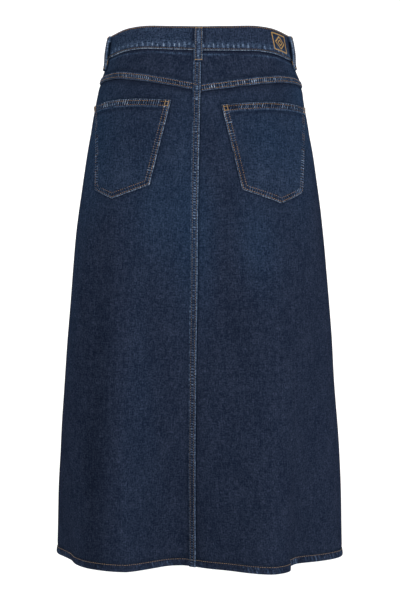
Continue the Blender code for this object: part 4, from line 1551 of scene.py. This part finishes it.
BUTTON_PROFILE = [
    # radius, height above the band, polish
    (0.0000, 0.00330, 0.5),
    (0.0012, 0.00326, 0.4),
    (0.0020, 0.00312, 0.1),
    (0.0032, 0.00300, 0.0),
    (0.0046, 0.00302, 0.2),
    (0.0054, 0.00318, 0.5),
    (0.0060, 0.00345, 1.0),
    (0.0067, 0.00362, 1.0),
    (0.0075, 0.00355, 1.0),
    (0.0081, 0.00325, 0.9),
    (0.0084, 0.00280, 0.7),
    (0.0083, 0.00225, 0.4),
    (0.0078, 0.00190, 0.1),
    (0.0060, 0.00172, 0.0),
    (0.0046, 0.00160, 0.0),
    (0.0042, 0.00100, 0.0),
    (0.0044, 0.00000, 0.0),
]


def button(material):
    """A turned shank button with a rolled rim and a plain pin in its hollow."""
    sides = 48
    profile = np.array(BUTTON_PROFILE)
    seat = on_cloth(CENTRE_FRONT, BUTTON_DROP, BAND_FACE)
    up = normals(np.array(CENTRE_FRONT), np.array(BUTTON_DROP))
    other = unit(np.cross(up, (1.0, 0.0, 0.0)))
    axes = np.cross(other, up), other, up
    points, faces, last_ring = lathe(seat, axes, profile[:, :2], sides)
    faces.append(last_ring[::-1])
    # on the button this value holds only its polish, with no painted shade
    wear = np.append(profile[0, 2], np.repeat(profile[1:, 2], sides))
    return new_piece("button_shank", points, faces, material, cloth=points, wear=wear)


# --------------------------------------------------------------- the rows of stitches


def sew_centre_back(thread):
    drop = np.linspace(BAND_HEIGHT + 0.0010, LENGTH - 0.0010, 1400)
    for across in FELL_STITCHES:
        height, _ = fell_profile(np.full(drop.shape, across), drop)
        angle = turned_by(centre_back(drop), drop, across - FELL_WIDTH)
        thread.line(angle, drop, height * 0.7 + 0.0002)


def sew_yokes(thread):
    for side, past_fell_edge in (("left", -2.2), ("right", 0.6)):
        start = centre_back(0.09) + past_fell_edge
        angle = np.linspace(start, SIGNS[side] * (SIDE_SEAM - 0.3), 500)
        for above in YOKE_STITCHES:
            drop = yoke_drop(side, angle) - above
            height, _ = yoke_profile(side, angle, drop)
            thread.line(angle, drop, height * 0.6 + 0.0003)


def band_row():
    """Angles along the waistband's long rows of stitches, which go on a little under its lap."""
    first, _, under_start, _ = band_angles()
    return np.linspace(first + 1.2, under_start + 4.0, 1500)


def sew_band(thread):
    angle = band_row()
    thread.line(angle, band_drop(angle) - BAND_STITCHES[0], BAND_FACE - 0.0001)
    drop = np.linspace(0.0017, BAND_HEIGHT - 0.0017, 60)
    thread.line(turned_by(band_angles()[0], drop, 0.0018), drop, BAND_FACE - 0.0001)


def sew_rim(thread):
    angle = band_row()
    thread.line(angle, np.full(angle.shape, BAND_STITCHES[1]), BAND_FACE, radius=RIM_THREAD)


def sew_hem(thread):
    angle = np.linspace(-180, 180, 2400)
    drop = np.full(angle.shape, LENGTH - HEM_STITCH)
    past = past_fell(angle, drop)
    over_fell = smooth((past + FELL_WIDTH + 0.001) / 0.002) * (1 - smooth((past + 0.0003) / 0.001))
    thread.line(angle, drop, 0.00012 + FELL_RISE * over_fell)


def evenly(route, spacing):
    """Even points along a route of corners."""
    reached = np.append(0, np.cumsum(np.linalg.norm(np.diff(route, axis=0), axis=1)))
    even = np.linspace(0, reached[-1], max(8, int(reached[-1] / spacing)))
    return np.stack([np.interp(even, reached, route[:, k]) for k in range(2)], axis=-1)


def sew_pocket(side, thread, tacks):
    outline = pocket_outline(side)
    centre = outline.mean(axis=0)

    def sew(route):
        distance, drop = evenly(np.array(route), 0.0012).T
        angle = angle_at(distance, drop)
        sunk = 0.00005 + 0.00018 * smooth((np.abs(angle) - 48) / 10)
        thread.line(angle, drop, pocket_face(side, distance, drop) - sunk)

    def overstitch(start, end):
        """Close back-and-forth stitches, which lie across the sewing line."""
        route = evenly(np.array([start, end]), 0.0004)
        step = unit(end - start)
        square = np.array([-step[1], step[0]]) * 0.00055
        ends = []
        for way in (-1, 1):
            spots = route + square * way + step * 0.0002 * way
            ends.append(np.stack([angle_at(spots[:, 0], spots[:, 1]), spots[:, 1]], axis=-1))
        tacks.satin(*ends, pocket_face(side, route[:, 0], route[:, 1]))

    mouth = outline[:MOUTH_CORNERS]
    below = outline[MOUTH_CORNERS - 1 :]
    for depth in MOUTH_STITCHES:
        inset = mouth + (0.0, depth)
        inset[0, 0] += SIGNS[side] * (0.0016 + depth * 0.22)
        inset[-1, 0] -= SIGNS[side] * (0.0016 + depth * 0.12)
        sew(inset)
    corners = np.array([outline[0], *below[::-1]])
    for depth in POCKET_STITCHES:
        route = inset_route(corners, depth, centre)
        sew(route)
        for end, towards in ((route[0], route[1]), (route[-1], route[-2])):
            step = unit(towards - end)
            overstitch(*(end + step * reach for reach in CORNER_STITCHES))
    for corner, towards in ((mouth[0], mouth[1]), (mouth[-1], mouth[-2])):
        step = unit(towards - corner)
        for depth, reaches in zip(MOUTH_STITCHES, MOUTH_TACKS):
            row = corner + (0.0, depth)
            overstitch(*(row + step * reach for reach in reaches))


def inset_route(corners, depth, centre):
    """An open route of corners, moved in by depth towards the centre."""
    shortened = 0.0012  # at both ends
    lines = []
    for a, b in zip(corners, corners[1:]):
        edge = unit(b - a)
        square = np.array([-edge[1], edge[0]])
        if (centre - a) @ square < 0:
            square = -square
        lines.append((a + square * depth, edge))
    route = [lines[0][0] + lines[0][1] * shortened]
    for (a, first), (b, second) in zip(lines, lines[1:]):
        step = np.linalg.solve(np.stack([first, -second], axis=1), b - a)
        route.append(a + first * step[0])
    last, edge = lines[-1]
    route.append(last + edge * (np.linalg.norm(corners[-1] - corners[-2]) - shortened))
    return route


def badge(thread):
    """A plain embroidered lozenge in a frame, in gold satin stitch."""

    def place(offsets):
        """Angles and drops of points, given as metres across and down from the badge's middle."""
        across, down = offsets.T
        drop = BADGE_DROP + down
        distance = BADGE_DISTANCE + across + BADGE_LEAN * down
        return np.stack([angle_at(distance, drop), drop], axis=-1)

    def stroke(a, b, width):
        """A bar of satin stitches from a to b."""
        pitch = 0.0004
        length = np.linalg.norm(b - a)
        along = (b - a) / length
        count = round(length / pitch)
        middle = mix(a, b, np.linspace(0, 1, count)[:, None])
        half = width / 2 * thread.random.uniform(0.92, 1.06, (count, 1))
        reach = np.array([-along[1], along[0]]) * half + along * pitch
        thread.satin(place(middle - reach), place(middle + reach), BAND_FACE + 0.0001, BADGE_ARCH)

    for width, corners in BADGE_SHAPES:
        corners = np.array(corners) * (BADGE_WIDTH / 2, BADGE_HEIGHT / 2)
        for a, b in zip(corners, np.roll(corners, -1, axis=0)):
            stroke(a, b, width)


# --------------------------------------------------------------- studio


def studio():
    """A pale floor that curves up into a round backdrop."""
    floor, flat, curve, top = -1.05, 2.6, 1.2, 3.4
    profile = [(0.0, floor), (flat / 2, floor), (flat, floor)]
    for turn in math.pi / 2 * np.arange(1, 13) / 12:
        profile.append((flat + curve * math.sin(turn), floor + curve * (1 - math.cos(turn))))
    profile.append((flat + curve, top))
    points, faces, _ = lathe(np.zeros(3), np.eye(3), profile, 96)
    mesh_object("studio", points, faces, studio_material())


def lights():
    world = bpy.data.worlds.new("studio_air")
    bpy.context.scene.world = world
    world.use_nodes = True
    background = world.node_tree.nodes["Background"]
    background.inputs["Color"].default_value = (1.0, 1.0, 1.0, 1.0)
    background.inputs["Strength"].default_value = 0.60
    for name, place in LIGHTS.items():
        data = bpy.data.lights.new(name, "AREA")
        data.shape = "DISK"
        data.size = LIGHT_SIZE
        data.energy = LIGHT_POWER
        obj = new_object(name, data)
        obj.location = place
        direction = Vector(LIT_PLACE) - Vector(place)
        obj.rotation_euler = direction.to_track_quat("-Z", "Y").to_euler()


def camera():
    data = bpy.data.cameras.new("camera")
    data.lens = LENS
    data.sensor_width = 36.0
    data.sensor_fit = "AUTO"
    obj = new_object("camera", data)
    obj.location = (0.0, -CAMERA_DISTANCE, CAMERA_HEIGHT)
    obj.rotation_euler = (math.pi / 2, 0.0, 0.0)
    bpy.context.scene.camera = obj


# --------------------------------------------------------------- putting it together


def dress(obj, node):
    """A piece that stands for a solid of the frame."""
    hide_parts(node)
    return obj


def trim(obj):
    """A piece that is sewn on one that stands for a solid."""
    return obj


def declare_sheets(hems, fell, stitches):
    """Gathers, for each back side, the flat area of its cut piece before it was sewn and hung, and
    the pieces sewn with it; nothing more is done with them.
    """
    for side, area in (("left", 0.2060), ("right", 0.2090)):
        with_pieces = [hems[f"hem_back_{side}"]]
        if side == "left":
            with_pieces += [fell, stitches["centre_back"], stitches["hem"]]


def build():
    bpy.context.scene.view_settings.view_transform = "Standard"
    camera()
    studio()
    lights()
    denim = denim_material()
    copper = metal_material()
    threads = {name: thread_material(name, *look) for name, look in THREADS.items()}

    cloths = {"waistband": dress(waistband(denim), "waistband")}
    stitches = {}
    hems = {}
    for place, seams_at in (("back", back_seams), ("front", front_seams)):
        for side in SIGNS:
            name = f"hem_{place}_{side}"
            hems[name] = trim(hem(name, seams_at(side), 71 + len(hems), denim))
    fell = trim(centre_back_fell(denim))
    for side in SIGNS:
        cloths[f"back_panel_{side}"] = dress(back_panel(side, denim), f"back_panel_{side}")
        cloths[f"front_panel_{side}"] = dress(front_panel(side, denim), f"front_panel_{side}")
        cloths[f"yoke_{side}"] = dress(yoke(side, denim), f"yoke_{side}")
        cloths[f"pocket_{side}"] = dress(pocket(side, denim), f"pocket_{side}")
        rows, tacks = Thread(5), Thread(6)
        sew_pocket(side, rows, tacks)
        tack_name = f"pocket_corners_{side}"
        stitches[f"pocket_{side}"] = trim(rows.piece(f"stitches_pocket_{side}", threads["tan"]))
        stitches[tack_name] = trim(tacks.piece(f"corner_tacks_pocket_{side}", threads["orange"]))
    for name in LOOPS:
        rows, tacks = Thread(4), Thread(9)
        cloths[name] = dress(belt_loop(name, denim, rows, tacks), name)
        stitches[name] = trim(rows.piece(f"stitches_{name}", threads["brown"]))
        stitches[f"{name}_tacks"] = trim(tacks.piece(f"tacks_{name}", threads["orange"]))
    rows = Thread(7)
    cloths["fly_front"] = dress(fly(denim, rows), "fly_front")
    stitches["fly"] = trim(rows.piece("stitches_fly", threads["brown"]))
    dress(button(copper), "button")

    sewing = (
        # name, piece, what sews it, seed, thread
        ("centre_back", "stitches_centre_back", sew_centre_back, 1, "brown"),
        ("yokes", "stitches_yokes", sew_yokes, 10, "amber"),
        ("hem", "stitches_hem", sew_hem, 2, "golden"),
        ("waistband", "stitches_waistband", sew_band, 3, "brown"),
        ("waistband_rim", "stitches_waistband_rim", sew_rim, 12, "amber"),
        ("badge", "embroidered_badge", badge, 8, "gold"),
    )
    for name, piece, sew, seed, thread in sewing:
        rows = Thread(seed)
        sew(rows)
        stitches[name] = trim(rows.piece(piece, threads[thread]))
    declare_sheets(hems, fell, stitches)


build()
